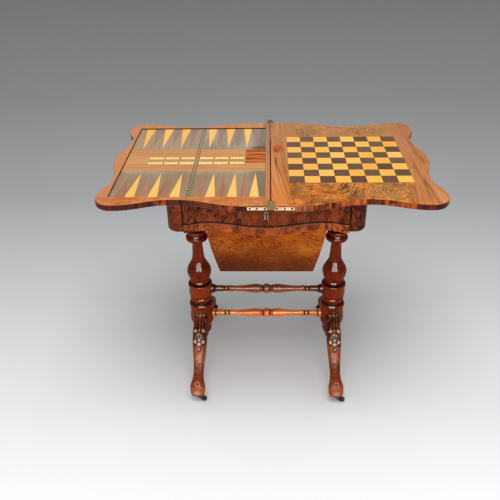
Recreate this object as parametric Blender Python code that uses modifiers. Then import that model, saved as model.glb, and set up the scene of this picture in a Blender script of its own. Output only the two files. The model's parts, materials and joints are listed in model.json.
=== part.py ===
"""A games and work table.

Two turned columns on four cabriole legs carry a shallow carcase with a drawer and, under it, a
sliding work box. The top is two serpentine leaves hinged edge to edge: it is shown swivelled
through a quarter turn on its pivot bolt and opened flat, with a chessboard on the right leaf and a
backgammon board sunk in the left one.

Lengths are in metres. X runs right, Y runs back and Z runs up. The origin is on the floor, below
the middle of the line where the two leaves meet.
"""

import math

import bmesh
import bpy
from mathutils import Matrix, Vector
from mathutils.geometry import interpolate_bezier

# Clearances and counts that every piece shares
FIT = 0.0003
OVERRUN = 0.002
WELD = 0.0001
SHADOW_GAP = 0.001
CURVE_STEPS = 5
ROUND_PROFILE_SHARE = 0.5
FLAT_ANGLE = math.radians(0.5)
QUARTER_TURN = math.radians(90)

# The two leaves
TOP_HEIGHT = 0.740
LEAF_WIDTH = 0.460
LEAF_LENGTH = 0.600
LEAF_THICKNESS = 0.020
CHESS_SQUARE = 0.042
SQUARES_ACROSS = 8
HINGE_BORDER = 0.051
MEETING_GAP = 0.0006
EDGE_ROUND = 0.004
SHORT_DIP = 0.0375
LONG_DIP = 0.024
LOBE_DROP = 0.006
HINGE_FLAT = 0.063
SHORT_DIP_SHARE = 0.556
SHORT_LOBE_SHARE = 0.895
LONG_LOBE_SHARE = 0.81
LONG_DIP_SHARE = 0.477
WAVE_HANDLE_SHARE = 0.45
ROUND_HANDLE_SHARE = 0.552

# The two playing fields
VENEER = 0.002
WELL_DEPTH = 0.003
FIELD_HINGE_MARGIN = 0.014
FIELD_OUTER_MARGIN = 0.0355
FIELD_END_MARGIN = 0.0495

# The leaf hinges
HINGE_ARM = 0.060
HINGE_ARM_DROP = 0.0055
HINGE_ARM_HEIGHT = 0.0085
HINGE_THICKNESS = 0.004
HINGE_LUG_RADIUS = 0.0115
HINGE_PIN_RADIUS = 0.002
HINGE_SIDES = 20

# The pivot
OPEN_SHIFT = 0.012
PIVOT_RADIUS = 0.006
PIVOT_FLANGE_RADIUS = 0.024
PIVOT_FLANGE_THICKNESS = 0.003
PIVOT_TAIL = 0.001
NUT_RADIUS = 0.012
NUT_HEIGHT = 0.008
NUT_SIDES = 6
PIVOT_RAIL_GAP = 0.007

# The carcase
END_OVERHANG = 0.023
SIDE_OVERHANG = 0.032
CARCASE_HEIGHT = 0.120
POST_WIDTH = 0.046
POST_DEPTH = 0.040
POST_ROUND = 0.030
POST_FOOT_ROUND = 0.012
PANEL_THICKNESS = 0.020
TOP_RAIL_HEIGHT = 0.030
SLIDE_BAND_HEIGHT = 0.0255
CROWN_DEPTH = 0.0132
DIP_DEPTH = 0.0135
DIP_PLACE_SHARE = 0.735
FRONT_THICKNESS = 0.0165
RUNNER_WIDTH = 0.0475

# The drawer and its lock
DRAWER_SIDE = 0.008
DRAWER_SIDE_PLAY = 0.0025
DRAWER_SIDE_DROP = 0.004
DRAWER_BACK_PLAY = 0.028
DRAWER_BACK_DROP = 0.010
DRAWER_BOTTOM = 0.004
DRAWER_BOTTOM_LIFT = 0.006
DRAWER_GROOVE = 0.003
LOCK_WIDTH = 0.060
LOCK_HEIGHT = 0.042
LOCK_DEPTH = 0.012
KEYHOLE_LEVEL = 0.0202
KEYHOLE_RADIUS = 0.0034
KEYHOLE_SLOT = 0.0040
KEYHOLE_DROP = 0.0165
KEYWAY_DEPTH = 0.006
BOLT_WIDTH = 0.016
BOLT_THICKNESS = 0.004
BOLT_LENGTH = 0.014
BOLT_TRAVEL = 0.005
ESCUTCHEON_HEAD_RADIUS = 0.0050
ESCUTCHEON_NECK = 0.0034
ESCUTCHEON_FOOT = 0.0052
ESCUTCHEON_DROP = 0.0182
ESCUTCHEON_THICKNESS = 0.0016
ESCUTCHEON_SINK = 0.0012
ESCUTCHEON_STEPS = 16

# The work box and its slide
SLIDE_THICKNESS = 0.018
TONGUE_DEPTH = 0.009
TONGUE_HEIGHT = 0.009
BOX_CLEARANCE = 0.0193
BOX_TAPER = 0.0349
BOX_HEIGHT = 0.158
BOX_SETBACK = 0.0093
BOX_WALL = 0.008
BOX_BOTTOM = 0.007
BOX_CURVE_POWER = 1.5
BOX_CURVE_STEPS = 8

# The bearers and the columns
BEARER_WIDTH = 0.060
BEARER_END_GAP = 0.003
BEARER_THICKNESS = 0.020
BEARER_ROUND = 0.006
COLUMN_INSET = 0.055
COLUMN_RADIUS = 0.0407
COLUMN_TENON_RADIUS = 0.014
COLUMN_TENON_LENGTH = 0.014
COLUMN_SIDES = 20
PENDANT_HEIGHT = 0.070
BLOCK_TOP_SHARE = 0.265
BLOCK_BOTTOM_SHARE = 0.1375
BLOCK_RADIUS_SHARE = 0.94
# Height as a share of the column, then radius as a share of its largest
COLUMN_SHARES = (
    (1.0, 0.737), (0.984, 0.737), (0.975, 0.60), (0.955, 0.47), (0.90, 0.44), (0.862, 0.48),
    (0.848, 0.60), (0.838, 0.73), (0.828, 0.745), (0.818, 0.70), (0.808, 0.78), (0.798, 0.86),
    (0.787, 0.868), (0.777, 0.80), (0.771, 0.62), (0.766, 0.50), (0.757, 0.50), (0.752, 0.45),
    (0.706, 0.4325), (0.668, 0.455), (0.630, 0.528), (0.607, 0.655), (0.592, 0.752),
    (0.570, 0.895), (0.541, 0.98), (0.517, 0.925), (0.486, 0.80), (0.478, 0.76), (0.469, 0.82),
    (0.460, 0.75), (0.453, 0.86), (0.446, 0.965), (0.438, 0.985), (0.430, 0.965),
    (0.424, 0.945), (0.372, 0.948), (0.362, 0.93), (0.354, 0.87), (0.346, 0.81), (0.337, 0.87),
    (0.330, 0.885), (0.323, 0.86), (0.316, 0.80), (0.305, 0.80), (0.298, 0.90), (0.290, 0.97),
    (0.2805, 1.0), (0.270, 0.95), (BLOCK_TOP_SHARE, BLOCK_RADIUS_SHARE),
    (BLOCK_BOTTOM_SHARE, 0.90), (0.126, 0.83), (0.108, 0.742), (0.0682, 0.708), (0.049, 0.60),
    (0.030, 0.44), (0.020, 0.40), (0.010, 0.42), (0.0, 0.22),
)

# The stretchers
STRETCHER_RADIUS = 0.016
STRETCHER_TENON_RADIUS = 0.007
STRETCHER_TENON_LENGTH = 0.014
STRETCHER_SIDES = 12
UPPER_STRETCHER_SHARE = 0.396
LOWER_STRETCHER_SHARE = 0.1957
# Distance from the middle as a share of half the stretcher, then radius as a share
STRETCHER_SHARES = (
    (0.0, 1.0), (0.030, 0.97), (0.054, 0.80), (0.062, 0.62), (0.075, 0.62), (0.082, 0.84),
    (0.095, 0.84), (0.103, 0.68), (0.112, 0.84), (0.185, 0.94), (0.28, 0.83), (0.42, 0.64),
    (0.55, 0.57), (0.665, 0.57), (0.674, 0.50), (0.683, 0.60), (0.705, 0.62), (0.727, 0.60),
    (0.736, 0.50), (0.745, 0.57), (0.84, 0.64), (0.90, 0.76), (0.93, 0.95), (0.96, 1.0),
    (1.0, 1.0),
)

# The legs
LEG_SPREAD = 0.256
LEG_WIDTH = 0.048
LEG_SEAT_SHARE = 0.80
LEG_TENON_WIDTH = 0.012
LEG_TENON_LENGTH = 0.013
LEG_TENON_HEIGHT = 0.036
LEG_SIDES = 14
LEG_SQUARENESS = 0.72
# Each section runs from a point on the leg's back to one on its underside. Reach counts from
# the column to the toe, height from the foot to the leg's top, and width is a share too.
LEG_SECTION_SHARES = (
    ((0.000, 1.000), (0.000, 0.650), 0.96), ((0.066, 0.978), (0.075, 0.617), 1.00),
    ((0.140, 0.928), (0.158, 0.562), 1.00), ((0.242, 0.878), (0.256, 0.501), 0.98),
    ((0.344, 0.817), (0.344, 0.445), 0.98), ((0.441, 0.700), (0.415, 0.390), 0.92),
    ((0.530, 0.567), (0.481, 0.340), 0.84), ((0.610, 0.456), (0.552, 0.284), 0.75),
    ((0.681, 0.373), (0.632, 0.218), 0.69), ((0.752, 0.312), (0.716, 0.157), 0.69),
    ((0.818, 0.279), (0.783, 0.112), 0.77), ((0.889, 0.262), (0.827, 0.062), 0.90),
    ((0.956, 0.218), (0.845, 0.026), 0.96), ((0.993, 0.145), (0.847, 0.015), 0.98),
    ((1.000, 0.073), (0.851, 0.007), 0.94), ((0.982, 0.000), (0.867, 0.000), 0.83),
)

# The castors
WHEEL_RADIUS = 0.009
WHEEL_WIDTH = 0.009
WHEEL_ROUND = 0.0018
WHEEL_SIDES = 16
AXLE_RADIUS = 0.002
FOOT_CLEARANCE = 0.0048
PLATE_RADIUS = 0.012
PLATE_THICKNESS = 0.002
CROWN_RADIUS = 0.011
CROWN_THICKNESS = 0.002
STEM_RADIUS = 0.003
STEM_LENGTH = 0.014
STEM_SIDES = 12
TRAIL = 0.021
CHEEK_THICKNESS = 0.0015
CHEEK_ROUND = 0.0045
CHEEK_PLAY = 0.0005
CHEEK_ROOT = 0.007
CHEEK_LEAN = math.radians(60)
CASTOR_ANGLES = {
    "front_left": math.radians(-15),
    "front_right": math.radians(-15),
    "back_left": math.radians(15),
    "back_right": math.radians(165),
}

# Sizes of the top
BOARD_WIDTH = SQUARES_ACROSS * CHESS_SQUARE
LEAF_END = LEAF_LENGTH / 2
LEAF_UNDERSIDE = TOP_HEIGHT - LEAF_THICKNESS
FOLD_AXIS = Vector((0, 0, TOP_HEIGHT + FIT))
ARM_TOP = TOP_HEIGHT - HINGE_ARM_DROP

# The carcase is centred where the closed top sits on it
BASE_X = -OPEN_SHIFT
PIVOT_OFFSET = (LEAF_WIDTH / 2 + OPEN_SHIFT) / 2
PIVOT_X = BASE_X + PIVOT_OFFSET
PIVOT_Y = PIVOT_OFFSET
CARCASE_TOP = LEAF_UNDERSIDE - FIT
CARCASE_BOTTOM = CARCASE_TOP - CARCASE_HEIGHT
HALF_WIDTH = LEAF_END - END_OVERHANG
HALF_DEPTH = LEAF_WIDTH / 2 - SIDE_OVERHANG
POST_INNER_X = HALF_WIDTH - POST_WIDTH
POST_INNER_Y = HALF_DEPTH - POST_DEPTH
PANEL_INNER_X = HALF_WIDTH - PANEL_THICKNESS
PIVOT_RAIL_HALF = POST_INNER_Y - PIVOT_RAIL_GAP - PIVOT_Y
RUNNER_OUTER_X = PANEL_INNER_X - FIT
RUNNER_INNER_X = RUNNER_OUTER_X - RUNNER_WIDTH
FRONT_BACK_Y = -(HALF_DEPTH - DIP_DEPTH - FRONT_THICKNESS)

# Levels of the fronts, from the rail down
RAIL_BOTTOM = CARCASE_TOP - TOP_RAIL_HEIGHT
BAND_TOP = CARCASE_BOTTOM + SLIDE_BAND_HEIGHT
DRAWER_TOP = RAIL_BOTTOM - SHADOW_GAP
DRAWER_LOW = BAND_TOP + SHADOW_GAP
KEYHOLE_Z = DRAWER_TOP - KEYHOLE_LEVEL
PIVOT_RAIL_BOTTOM = RAIL_BOTTOM + NUT_HEIGHT + FIT + PIVOT_TAIL
NUT_TOP = PIVOT_RAIL_BOTTOM - FIT

# Places in the drawer
DRAWER_OUTER_X = POST_INNER_X - DRAWER_SIDE_PLAY
DRAWER_INNER_X = DRAWER_OUTER_X - DRAWER_SIDE
DRAWER_FRONT_Y = FRONT_BACK_Y + FIT
DRAWER_END_Y = HALF_DEPTH - PANEL_THICKNESS - DRAWER_BACK_PLAY
LOCK_FRONT_Y = FRONT_BACK_Y - LOCK_DEPTH
BOLT_Y = FRONT_BACK_Y - LOCK_DEPTH / 2

# Places in the slide and the work box
SLIDE_MIDDLE_Z = (CARCASE_BOTTOM + BAND_TOP) / 2
SLIDE_LOW = SLIDE_MIDDLE_Z - SLIDE_THICKNESS / 2
SLIDE_HIGH = SLIDE_MIDDLE_Z + SLIDE_THICKNESS / 2
SLIDE_EDGE_X = RUNNER_INNER_X - FIT
SLIDE_FRONT_Y = FRONT_BACK_Y + FIT
BOX_TOP = SLIDE_LOW - FIT
BOX_LOW = BOX_TOP - BOX_HEIGHT
BOX_FRONT_Y = SLIDE_FRONT_Y + BOX_SETBACK
BOX_INNER_Y = -BOX_FRONT_Y - BOX_WALL

# Places in the base
COLUMN_X = HALF_WIDTH - COLUMN_INSET
BEARER_END_Y = POST_INNER_Y - BEARER_END_GAP
BEARER_TOP = CARCASE_BOTTOM - FIT
BEARER_LOW = BEARER_TOP - BEARER_THICKNESS
COLUMN_TOP = BEARER_LOW - FIT
COLUMN_HEIGHT = COLUMN_TOP - PENDANT_HEIGHT
BOX_TOP_HALF = COLUMN_X - BEARER_WIDTH / 2 - BOX_CLEARANCE
BLOCK_TOP = PENDANT_HEIGHT + BLOCK_TOP_SHARE * COLUMN_HEIGHT
BLOCK_LOW = PENDANT_HEIGHT + BLOCK_BOTTOM_SHARE * COLUMN_HEIGHT
BLOCK_RADIUS = BLOCK_RADIUS_SHARE * COLUMN_RADIUS
LEG_SEAT = LEG_SEAT_SHARE * BLOCK_RADIUS
FOOT_HEIGHT = 2 * WHEEL_RADIUS + FOOT_CLEARANCE
LEG_ROOT = LEG_SEAT + FIT
LEG_TENON_Z = (BLOCK_TOP + BLOCK_LOW) / 2
PLATE_TOP = FOOT_HEIGHT - FIT
CROWN_TOP = PLATE_TOP - PLATE_THICKNESS - FIT

SIDES = (("left", -1), ("right", 1))
ENDS = (("front", -1), ("back", 1))
STRETCHERS = (("upper", UPPER_STRETCHER_SHARE), ("lower", LOWER_STRETCHER_SHARE))


# Setting up the scene

def remove_everything():
    """Start from an empty scene."""
    for old in list(bpy.data.objects):
        bpy.data.objects.remove(old, do_unlink=True)


def new_collection(name):
    """Add a collection to the scene."""
    collection = bpy.data.collections.new(name)
    bpy.context.scene.collection.children.link(collection)
    return collection


def finish(name, colour, roughness, metallic=0.0):
    """A plain Principled finish."""
    material = bpy.data.materials.new(name)
    material.use_nodes = True
    shader = material.node_tree.nodes["Principled BSDF"]
    shader.inputs["Base Color"].default_value = (*colour, 1)
    shader.inputs["Roughness"].default_value = roughness
    shader.inputs["Metallic"].default_value = metallic
    return material


remove_everything()
TABLE = new_collection("games_and_work_table")
CUTTERS = new_collection("cutters")

TURNED_WALNUT = finish("turned_walnut", (0.17, 0.045, 0.015), 0.22)
CARVED_WALNUT = finish("carved_walnut", (0.20, 0.055, 0.018), 0.28)
BURR_WALNUT = finish("burr_walnut", (0.24, 0.085, 0.032), 0.25)
BOX_VENEER = finish("box_veneer", (0.26, 0.08, 0.025), 0.35)
CARCASE_WOOD = finish("carcase_wood", (0.30, 0.17, 0.08), 0.6)
CHESS_INLAY = finish("chess_inlay", (0.45, 0.25, 0.08), 0.25)
FIELD_INLAY = finish("field_inlay", (0.20, 0.13, 0.08), 0.3)
BRASS = finish("brass", (0.72, 0.50, 0.20), 0.3, 1.0)
DARK_IRON = finish("dark_iron", (0.10, 0.10, 0.11), 0.5, 1.0)


# Small tools for solids

def add_object(name, mesh, material, collection=TABLE):
    """Put a mesh into the scene as a named object."""
    piece = bpy.data.objects.new(name, mesh)
    if material is not None and not mesh.materials:
        mesh.materials.append(material)
    collection.objects.link(piece)
    return piece


def mesh_from(bm, name):
    """Turn a bmesh into a mesh with its faces pointing out."""
    bmesh.ops.recalc_face_normals(bm, faces=bm.faces)
    mesh = bpy.data.meshes.new(name)
    bm.to_mesh(mesh)
    bm.free()
    return mesh


def box(name, low, high, material=None, collection=TABLE):
    """A block between two corners, with its origin at its middle."""
    low, high = Vector(low), Vector(high)
    bm = bmesh.new()
    bmesh.ops.create_cube(bm, size=1, matrix=Matrix.Diagonal((*(high - low), 1)))
    piece = add_object(name, mesh_from(bm, name), material, collection)
    piece.location = (low + high) / 2
    return piece


def rod(name, radius, start, end, sides, material=None, collection=TABLE):
    """A round bar between two points, with its origin at its middle."""
    start, end = Vector(start), Vector(end)
    bm = bmesh.new()
    bmesh.ops.create_cone(bm, cap_ends=True, segments=sides, radius1=radius, radius2=radius,
                          depth=(end - start).length)
    piece = add_object(name, mesh_from(bm, name), material, collection)
    piece.rotation_mode = "QUATERNION"
    piece.rotation_quaternion = (end - start).to_track_quat("Z", "Y")
    piece.location = (start + end) / 2
    return piece


def turned(name, profile, sides, material, collection=TABLE):
    """Spin a half profile of (radius, height) points, listed top to bottom, about Z."""
    mesh = bpy.data.meshes.new(name)
    points = [(radius, 0, height) for radius, height in profile]
    mesh.from_pydata(points, [(i, i + 1) for i in range(len(points) - 1)], [])
    piece = add_object(name, mesh, material, collection)
    spin = piece.modifiers.new("spin", "SCREW")
    spin.steps = sides
    spin.render_steps = sides
    spin.use_merge_vertices = True
    spin.merge_threshold = WELD
    spin.use_smooth_shade = True
    return piece


def evaluated_mesh(piece):
    """The piece's mesh with its modifiers applied and its loose corners welded."""
    bpy.context.view_layer.update()
    graph = bpy.context.evaluated_depsgraph_get()
    mesh = bpy.data.meshes.new_from_object(piece.evaluated_get(graph))
    bm = bmesh.new()
    bm.from_mesh(mesh)
    bmesh.ops.remove_doubles(bm, verts=bm.verts, dist=WELD)
    bmesh.ops.recalc_face_normals(bm, faces=bm.faces)
    bm.to_mesh(mesh)
    bm.free()
    return mesh


# How an outline lies in space. One drawn in XZ is thickened towards -Y, so its levels change sign
PLANES = {
    "XY": (Matrix.Identity(4), 1),
    "XZ": (Matrix.Rotation(QUARTER_TURN, 4, "X"), -1),
}


def plate(name, outline, low, high, plane, material=None, collection=TABLE):
    """A flat outline filled and thickened between two levels, as a mesh."""
    curve = bpy.data.curves.new(name, "CURVE")
    curve.dimensions = "2D"
    curve.fill_mode = "BOTH"
    curve.extrude = (high - low) / 2
    curve.render_resolution_u = 0
    spline = curve.splines.new("POLY")
    spline.points.add(len(outline) - 1)
    for point, (across, along) in zip(spline.points, outline):
        point.co = (across, along, 0, 1)
    spline.use_cyclic_u = True
    drawn = bpy.data.objects.new(name + "_outline", curve)
    CUTTERS.objects.link(drawn)
    mesh = evaluated_mesh(drawn)
    mesh.name = name
    bpy.data.objects.remove(drawn)
    bpy.data.curves.remove(curve)
    piece = add_object(name, mesh, material, collection)
    turn, sense = PLANES[plane]
    piece.matrix_world = turn @ Matrix.Translation((0, 0, sense * (low + high) / 2))
    return piece


def merge_flat_faces(piece):
    """Merge the flat triangles of a cap into whole faces before its rims are rounded."""
    bm = bmesh.new()
    bm.from_mesh(piece.data)
    bmesh.ops.dissolve_limit(bm, angle_limit=FLAT_ANGLE, verts=bm.verts, edges=bm.edges)
    bm.to_mesh(piece.data)
    bm.free()


def round_edges(piece, chosen, radius, steps):
    """Round the edges whose two ends, in the piece's own space, satisfy chosen."""
    merge_flat_faces(piece)
    bm = bmesh.new()
    bm.from_mesh(piece.data)
    edges = [edge for edge in bm.edges if chosen(edge.verts[0].co, edge.verts[1].co)]
    bmesh.ops.bevel(bm, geom=edges, offset=radius, offset_type="OFFSET", segments=steps,
                    profile=ROUND_PROFILE_SHARE, affect="EDGES", clamp_overlap=True)
    bmesh.ops.recalc_face_normals(bm, faces=bm.faces)
    bm.to_mesh(piece.data)
    bm.free()


def combine(target, tool, operation):
    """Cut target with tool, or join tool to it, and put the tool among the cutters."""
    for home in list(tool.users_collection):
        home.objects.unlink(tool)
    CUTTERS.objects.link(tool)
    tool.hide_render = True
    tool.display_type = "WIRE"
    change = target.modifiers.new(operation.lower() + "_" + tool.name, "BOOLEAN")
    change.operation = operation
    change.solver = "EXACT"
    change.object = tool


def cut(target, *tools):
    """Take each tool away from the target."""
    for tool in tools:
        combine(target, tool, "DIFFERENCE")


def join(target, *tools):
    """Make each tool one solid with the target."""
    for tool in tools:
        combine(target, tool, "UNION")


def body_axis(name, place, angle=0):
    """An empty on a moving body's axis. The body's pieces hang on it."""
    axis = bpy.data.objects.new(name, None)
    axis.location = place
    axis.rotation_euler.z = angle
    TABLE.objects.link(axis)
    return axis


def carry(axis, pieces):
    """Hang pieces on an axis without moving them."""
    bpy.context.view_layer.update()
    for piece in pieces:
        piece.parent = axis
        piece.matrix_parent_inverse = axis.matrix_world.inverted()


def wave(start, end, along, steps=CURVE_STEPS):
    """Points of an S-shaped stretch that leaves and arrives along the same direction."""
    start, end, along = Vector((*start, 0)), Vector((*end, 0)), Vector((*along, 0))
    reach = along * abs((end - start).dot(along)) * WAVE_HANDLE_SHARE
    points = interpolate_bezier(start, start + reach, end - reach, end, steps + 1)
    return [point.xy.to_tuple() for point in points[1:]]


def corner(start, end, leave, arrive, steps=CURVE_STEPS):
    """Points of a quarter turn that leaves along one direction and arrives along another."""
    start, end = Vector((*start, 0)), Vector((*end, 0))
    leave, arrive = Vector((*leave, 0)), Vector((*arrive, 0))
    out = leave * abs((end - start).dot(leave)) * ROUND_HANDLE_SHARE
    home = arrive * abs((end - start).dot(arrive)) * ROUND_HANDLE_SHARE
    points = interpolate_bezier(start, start + out, end - home, end, steps + 1)
    return [point.xy.to_tuple() for point in points[1:]]


# The top

def leaf_outline():
    """The right leaf's outline, from the hinge line at the front round to the back."""
    flat = (HINGE_FLAT, -LEAF_END)
    short_dip = (SHORT_DIP_SHARE * LEAF_WIDTH, -(LEAF_END - SHORT_DIP))
    short_lobe = (SHORT_LOBE_SHARE * LEAF_WIDTH, -(LEAF_END - LOBE_DROP))
    long_lobe = (LEAF_WIDTH, -LONG_LOBE_SHARE * LEAF_END)
    long_dip = (LEAF_WIDTH - LONG_DIP, -LONG_DIP_SHARE * LEAF_END)
    half = [(MEETING_GAP, -LEAF_END), flat]
    half += wave(flat, short_dip, (1, 0))
    half += wave(short_dip, short_lobe, (1, 0))
    half += corner(short_lobe, long_lobe, (1, 0), (0, 1))
    half += wave(long_lobe, long_dip, (0, 1))
    half += wave(long_dip, (LEAF_WIDTH, 0), (0, 1))
    return half + [(x, -y) for x, y in reversed(half[:-1])]


def leaf_board(name, sense):
    """A leaf's board, with rims rounded everywhere but where the two leaves meet."""
    outline = [(sense * x, y) for x, y in leaf_outline()]
    board = plate(name, outline, LEAF_UNDERSIDE, TOP_HEIGHT, "XY", BURR_WALNUT)
    half = LEAF_THICKNESS / 2

    def on_rim(a, b):
        level = abs(a.z - b.z) < WELD and abs(abs(a.z) - half) < WELD
        return level and not (abs(a.x) < 2 * MEETING_GAP and abs(b.x) < 2 * MEETING_GAP)

    round_edges(board, on_rim, EDGE_ROUND, 2)
    return board


def hinge_recess(name, sense, end):
    """The space that one hinge takes out of a leaf's end."""
    skin = LEAF_END - HINGE_THICKNESS - FIT
    near, far = sorted((end * skin, end * (LEAF_END + OVERRUN)))
    left, right = sorted((-sense * OVERRUN, sense * (HINGE_ARM + FIT)))
    arm = box(name + "_arm", (left, near, ARM_TOP - HINGE_ARM_HEIGHT - FIT),
              (right, far, ARM_TOP + FIT))
    lug = rod(name + "_lug", HINGE_LUG_RADIUS + FIT, (0, near, FOLD_AXIS.z), (0, far, FOLD_AXIS.z),
              HINGE_SIDES)
    return arm, lug


def hinge_layers(end, outer):
    """The two faces of one lug's half of the hinge's thickness, outer or inner."""
    middle = LEAF_END - HINGE_THICKNESS / 2
    if outer:
        return sorted((end * LEAF_END, end * (middle + FIT / 2)))
    return sorted((end * (middle - FIT / 2), end * (LEAF_END - HINGE_THICKNESS)))


def hinge_plate(name, sense, end, outer):
    """A hinge plate: an arm let into the leaf's end, and a lug that laps its partner's."""
    near, far = sorted((end * (LEAF_END - HINGE_THICKNESS), end * LEAF_END))
    left, right = sorted((sense * MEETING_GAP, sense * HINGE_ARM))
    arm = box(name, (left, near, ARM_TOP - HINGE_ARM_HEIGHT), (right, far, ARM_TOP), BRASS)
    low, high = hinge_layers(end, outer)
    lug = rod(name + "_lug", HINGE_LUG_RADIUS, (0, low, FOLD_AXIS.z), (0, high, FOLD_AXIS.z),
              HINGE_SIDES)
    join(arm, lug)
    other_low, other_high = hinge_layers(end, not outer)
    clear_low = other_low - (FIT if other_low > near else OVERRUN)
    clear_high = other_high + (FIT if other_high < far else OVERRUN)
    clearance = rod(name + "_clearance", HINGE_LUG_RADIUS + FIT, (0, clear_low, FOLD_AXIS.z),
                    (0, clear_high, FOLD_AXIS.z), HINGE_SIDES)
    bore = rod(name + "_bore", HINGE_PIN_RADIUS + FIT, (0, near - OVERRUN, FOLD_AXIS.z),
               (0, far + OVERRUN, FOLD_AXIS.z), STEM_SIDES)
    cut(arm, clearance, bore)
    return arm


def hinge_pin(name, end):
    """The pin through both lugs, flush with the hinge's faces."""
    near, far = sorted((end * (LEAF_END - HINGE_THICKNESS), end * LEAF_END))
    return rod(name, HINGE_PIN_RADIUS, (0, near, FOLD_AXIS.z), (0, far, FOLD_AXIS.z),
               STEM_SIDES, BRASS)


def lower_leaf():
    """The right leaf: it turns on the pivot and holds the chessboard."""
    board = leaf_board("lower_leaf_board", 1)
    field_low = (HINGE_BORDER, -BOARD_WIDTH / 2, TOP_HEIGHT - VENEER)
    field_high = (HINGE_BORDER + BOARD_WIDTH, BOARD_WIDTH / 2, TOP_HEIGHT)
    field = box("chess_field", field_low, field_high, CHESS_INLAY)
    cut(board, box("chess_recess", Vector(field_low) - Vector((FIT, FIT, FIT)),
                   Vector(field_high) + Vector((FIT, FIT, OVERRUN))))
    pieces = [board, field]
    for end_name, end in ENDS:
        cut(board, *hinge_recess("lower_recess_" + end_name, 1, end))
        pieces.append(hinge_plate("hinge_plate_lower_" + end_name, 1, end, True))
        pieces.append(hinge_pin("hinge_pin_" + end_name, end))
    flange_top = LEAF_UNDERSIDE + PIVOT_FLANGE_THICKNESS
    cut(board, rod("flange_recess", PIVOT_FLANGE_RADIUS + FIT,
                   (PIVOT_X, PIVOT_Y, LEAF_UNDERSIDE - OVERRUN),
                   (PIVOT_X, PIVOT_Y, flange_top + FIT), COLUMN_SIDES))
    tail = NUT_TOP - NUT_HEIGHT - PIVOT_TAIL
    bolt = turned("pivot_bolt", [
        (0, flange_top), (PIVOT_FLANGE_RADIUS, flange_top), (PIVOT_FLANGE_RADIUS, LEAF_UNDERSIDE),
        (PIVOT_RADIUS, LEAF_UNDERSIDE), (PIVOT_RADIUS, tail), (0, tail)], COLUMN_SIDES, DARK_IRON)
    bolt.location = (PIVOT_X, PIVOT_Y, 0)
    nut = rod("pivot_nut", NUT_RADIUS, (PIVOT_X, PIVOT_Y, NUT_TOP - NUT_HEIGHT),
              (PIVOT_X, PIVOT_Y, NUT_TOP), NUT_SIDES, DARK_IRON)
    cut(nut, pivot_bore("nut_bore", NUT_TOP - NUT_HEIGHT, NUT_TOP))
    pieces += [bolt, nut]
    carry(body_axis("top_swivel_axis", (PIVOT_X, PIVOT_Y, LEAF_UNDERSIDE)), pieces)


def pivot_bore(name, low, high):
    """The hole that the pivot bolt turns in."""
    return rod(name, PIVOT_RADIUS + FIT, (PIVOT_X, PIVOT_Y, low - OVERRUN),
               (PIVOT_X, PIVOT_Y, high + OVERRUN), COLUMN_SIDES)


def upper_leaf():
    """The left leaf: it folds over onto the right one and holds the backgammon board."""
    board = leaf_board("upper_leaf_board", -1)
    floor_top = TOP_HEIGHT - WELL_DEPTH
    end_y = LEAF_END - FIELD_END_MARGIN
    field_low = (-(LEAF_WIDTH - FIELD_OUTER_MARGIN), -end_y, floor_top - VENEER)
    field_high = (-FIELD_HINGE_MARGIN, end_y, floor_top)
    field = box("backgammon_field", field_low, field_high, FIELD_INLAY)
    cut(board, box("backgammon_recess", Vector(field_low) - Vector((FIT, FIT, FIT)),
                   (field_high[0] + FIT, end_y + FIT, TOP_HEIGHT + OVERRUN)))
    pieces = [board, field]
    for end_name, end in ENDS:
        cut(board, *hinge_recess("upper_recess_" + end_name, -1, end))
        pieces.append(hinge_plate("hinge_plate_upper_" + end_name, -1, end, False))
    carry(body_axis("leaf_fold_axis", FOLD_AXIS), pieces)


# The carcase

def serpentine(half_width, depth=HALF_DEPTH):
    """The front's line in plan, about the carcase's middle, from left to right."""
    crown = (0, -depth - CROWN_DEPTH)
    dip = (DIP_PLACE_SHARE * half_width, -depth + DIP_DEPTH)
    shoulder = (half_width, -depth)
    half = [crown] + wave(crown, dip, (1, 0)) + wave(dip, shoulder, (1, 0), CURVE_STEPS - 2)
    return [(-x, y) for x, y in reversed(half[1:])] + half


def serpentine_plate(name, half_width, back_y, low, high, end, material):
    """A rail or front with the serpentine line on its outer face and a flat inner face."""
    outline = [(BASE_X + x, -end * y) for x, y in serpentine(half_width)]
    outline += [(BASE_X + half_width, end * back_y), (BASE_X - half_width, end * back_y)]
    return plate(name, outline, low, high, "XY", material)


def corner_post(name, sense, end):
    """A post with a rounded outer corner and a softened foot."""
    inside = (BASE_X + sense * POST_INNER_X, end * POST_INNER_Y)
    outline = [(0, 0), (POST_WIDTH, 0), (POST_WIDTH, POST_DEPTH - POST_ROUND)]
    outline += corner((POST_WIDTH, POST_DEPTH - POST_ROUND), (POST_WIDTH - POST_ROUND, POST_DEPTH),
                      (0, 1), (-1, 0))
    outline.append((0, POST_DEPTH))
    outline = [(inside[0] + sense * u, inside[1] + end * v) for u, v in outline]
    post = plate(name, outline, CARCASE_BOTTOM, CARCASE_TOP, "XY", BURR_WALNUT)
    foot = -CARCASE_HEIGHT / 2

    def on_foot(a, b):
        level = abs(a.z - foot) < WELD and abs(b.z - foot) < WELD
        middle = (a + b) / 2
        inner = (abs(middle.x - inside[0]) < WELD) or (abs(middle.y - inside[1]) < WELD)
        return level and not inner

    round_edges(post, on_foot, POST_FOOT_ROUND, 3)
    return post


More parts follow.
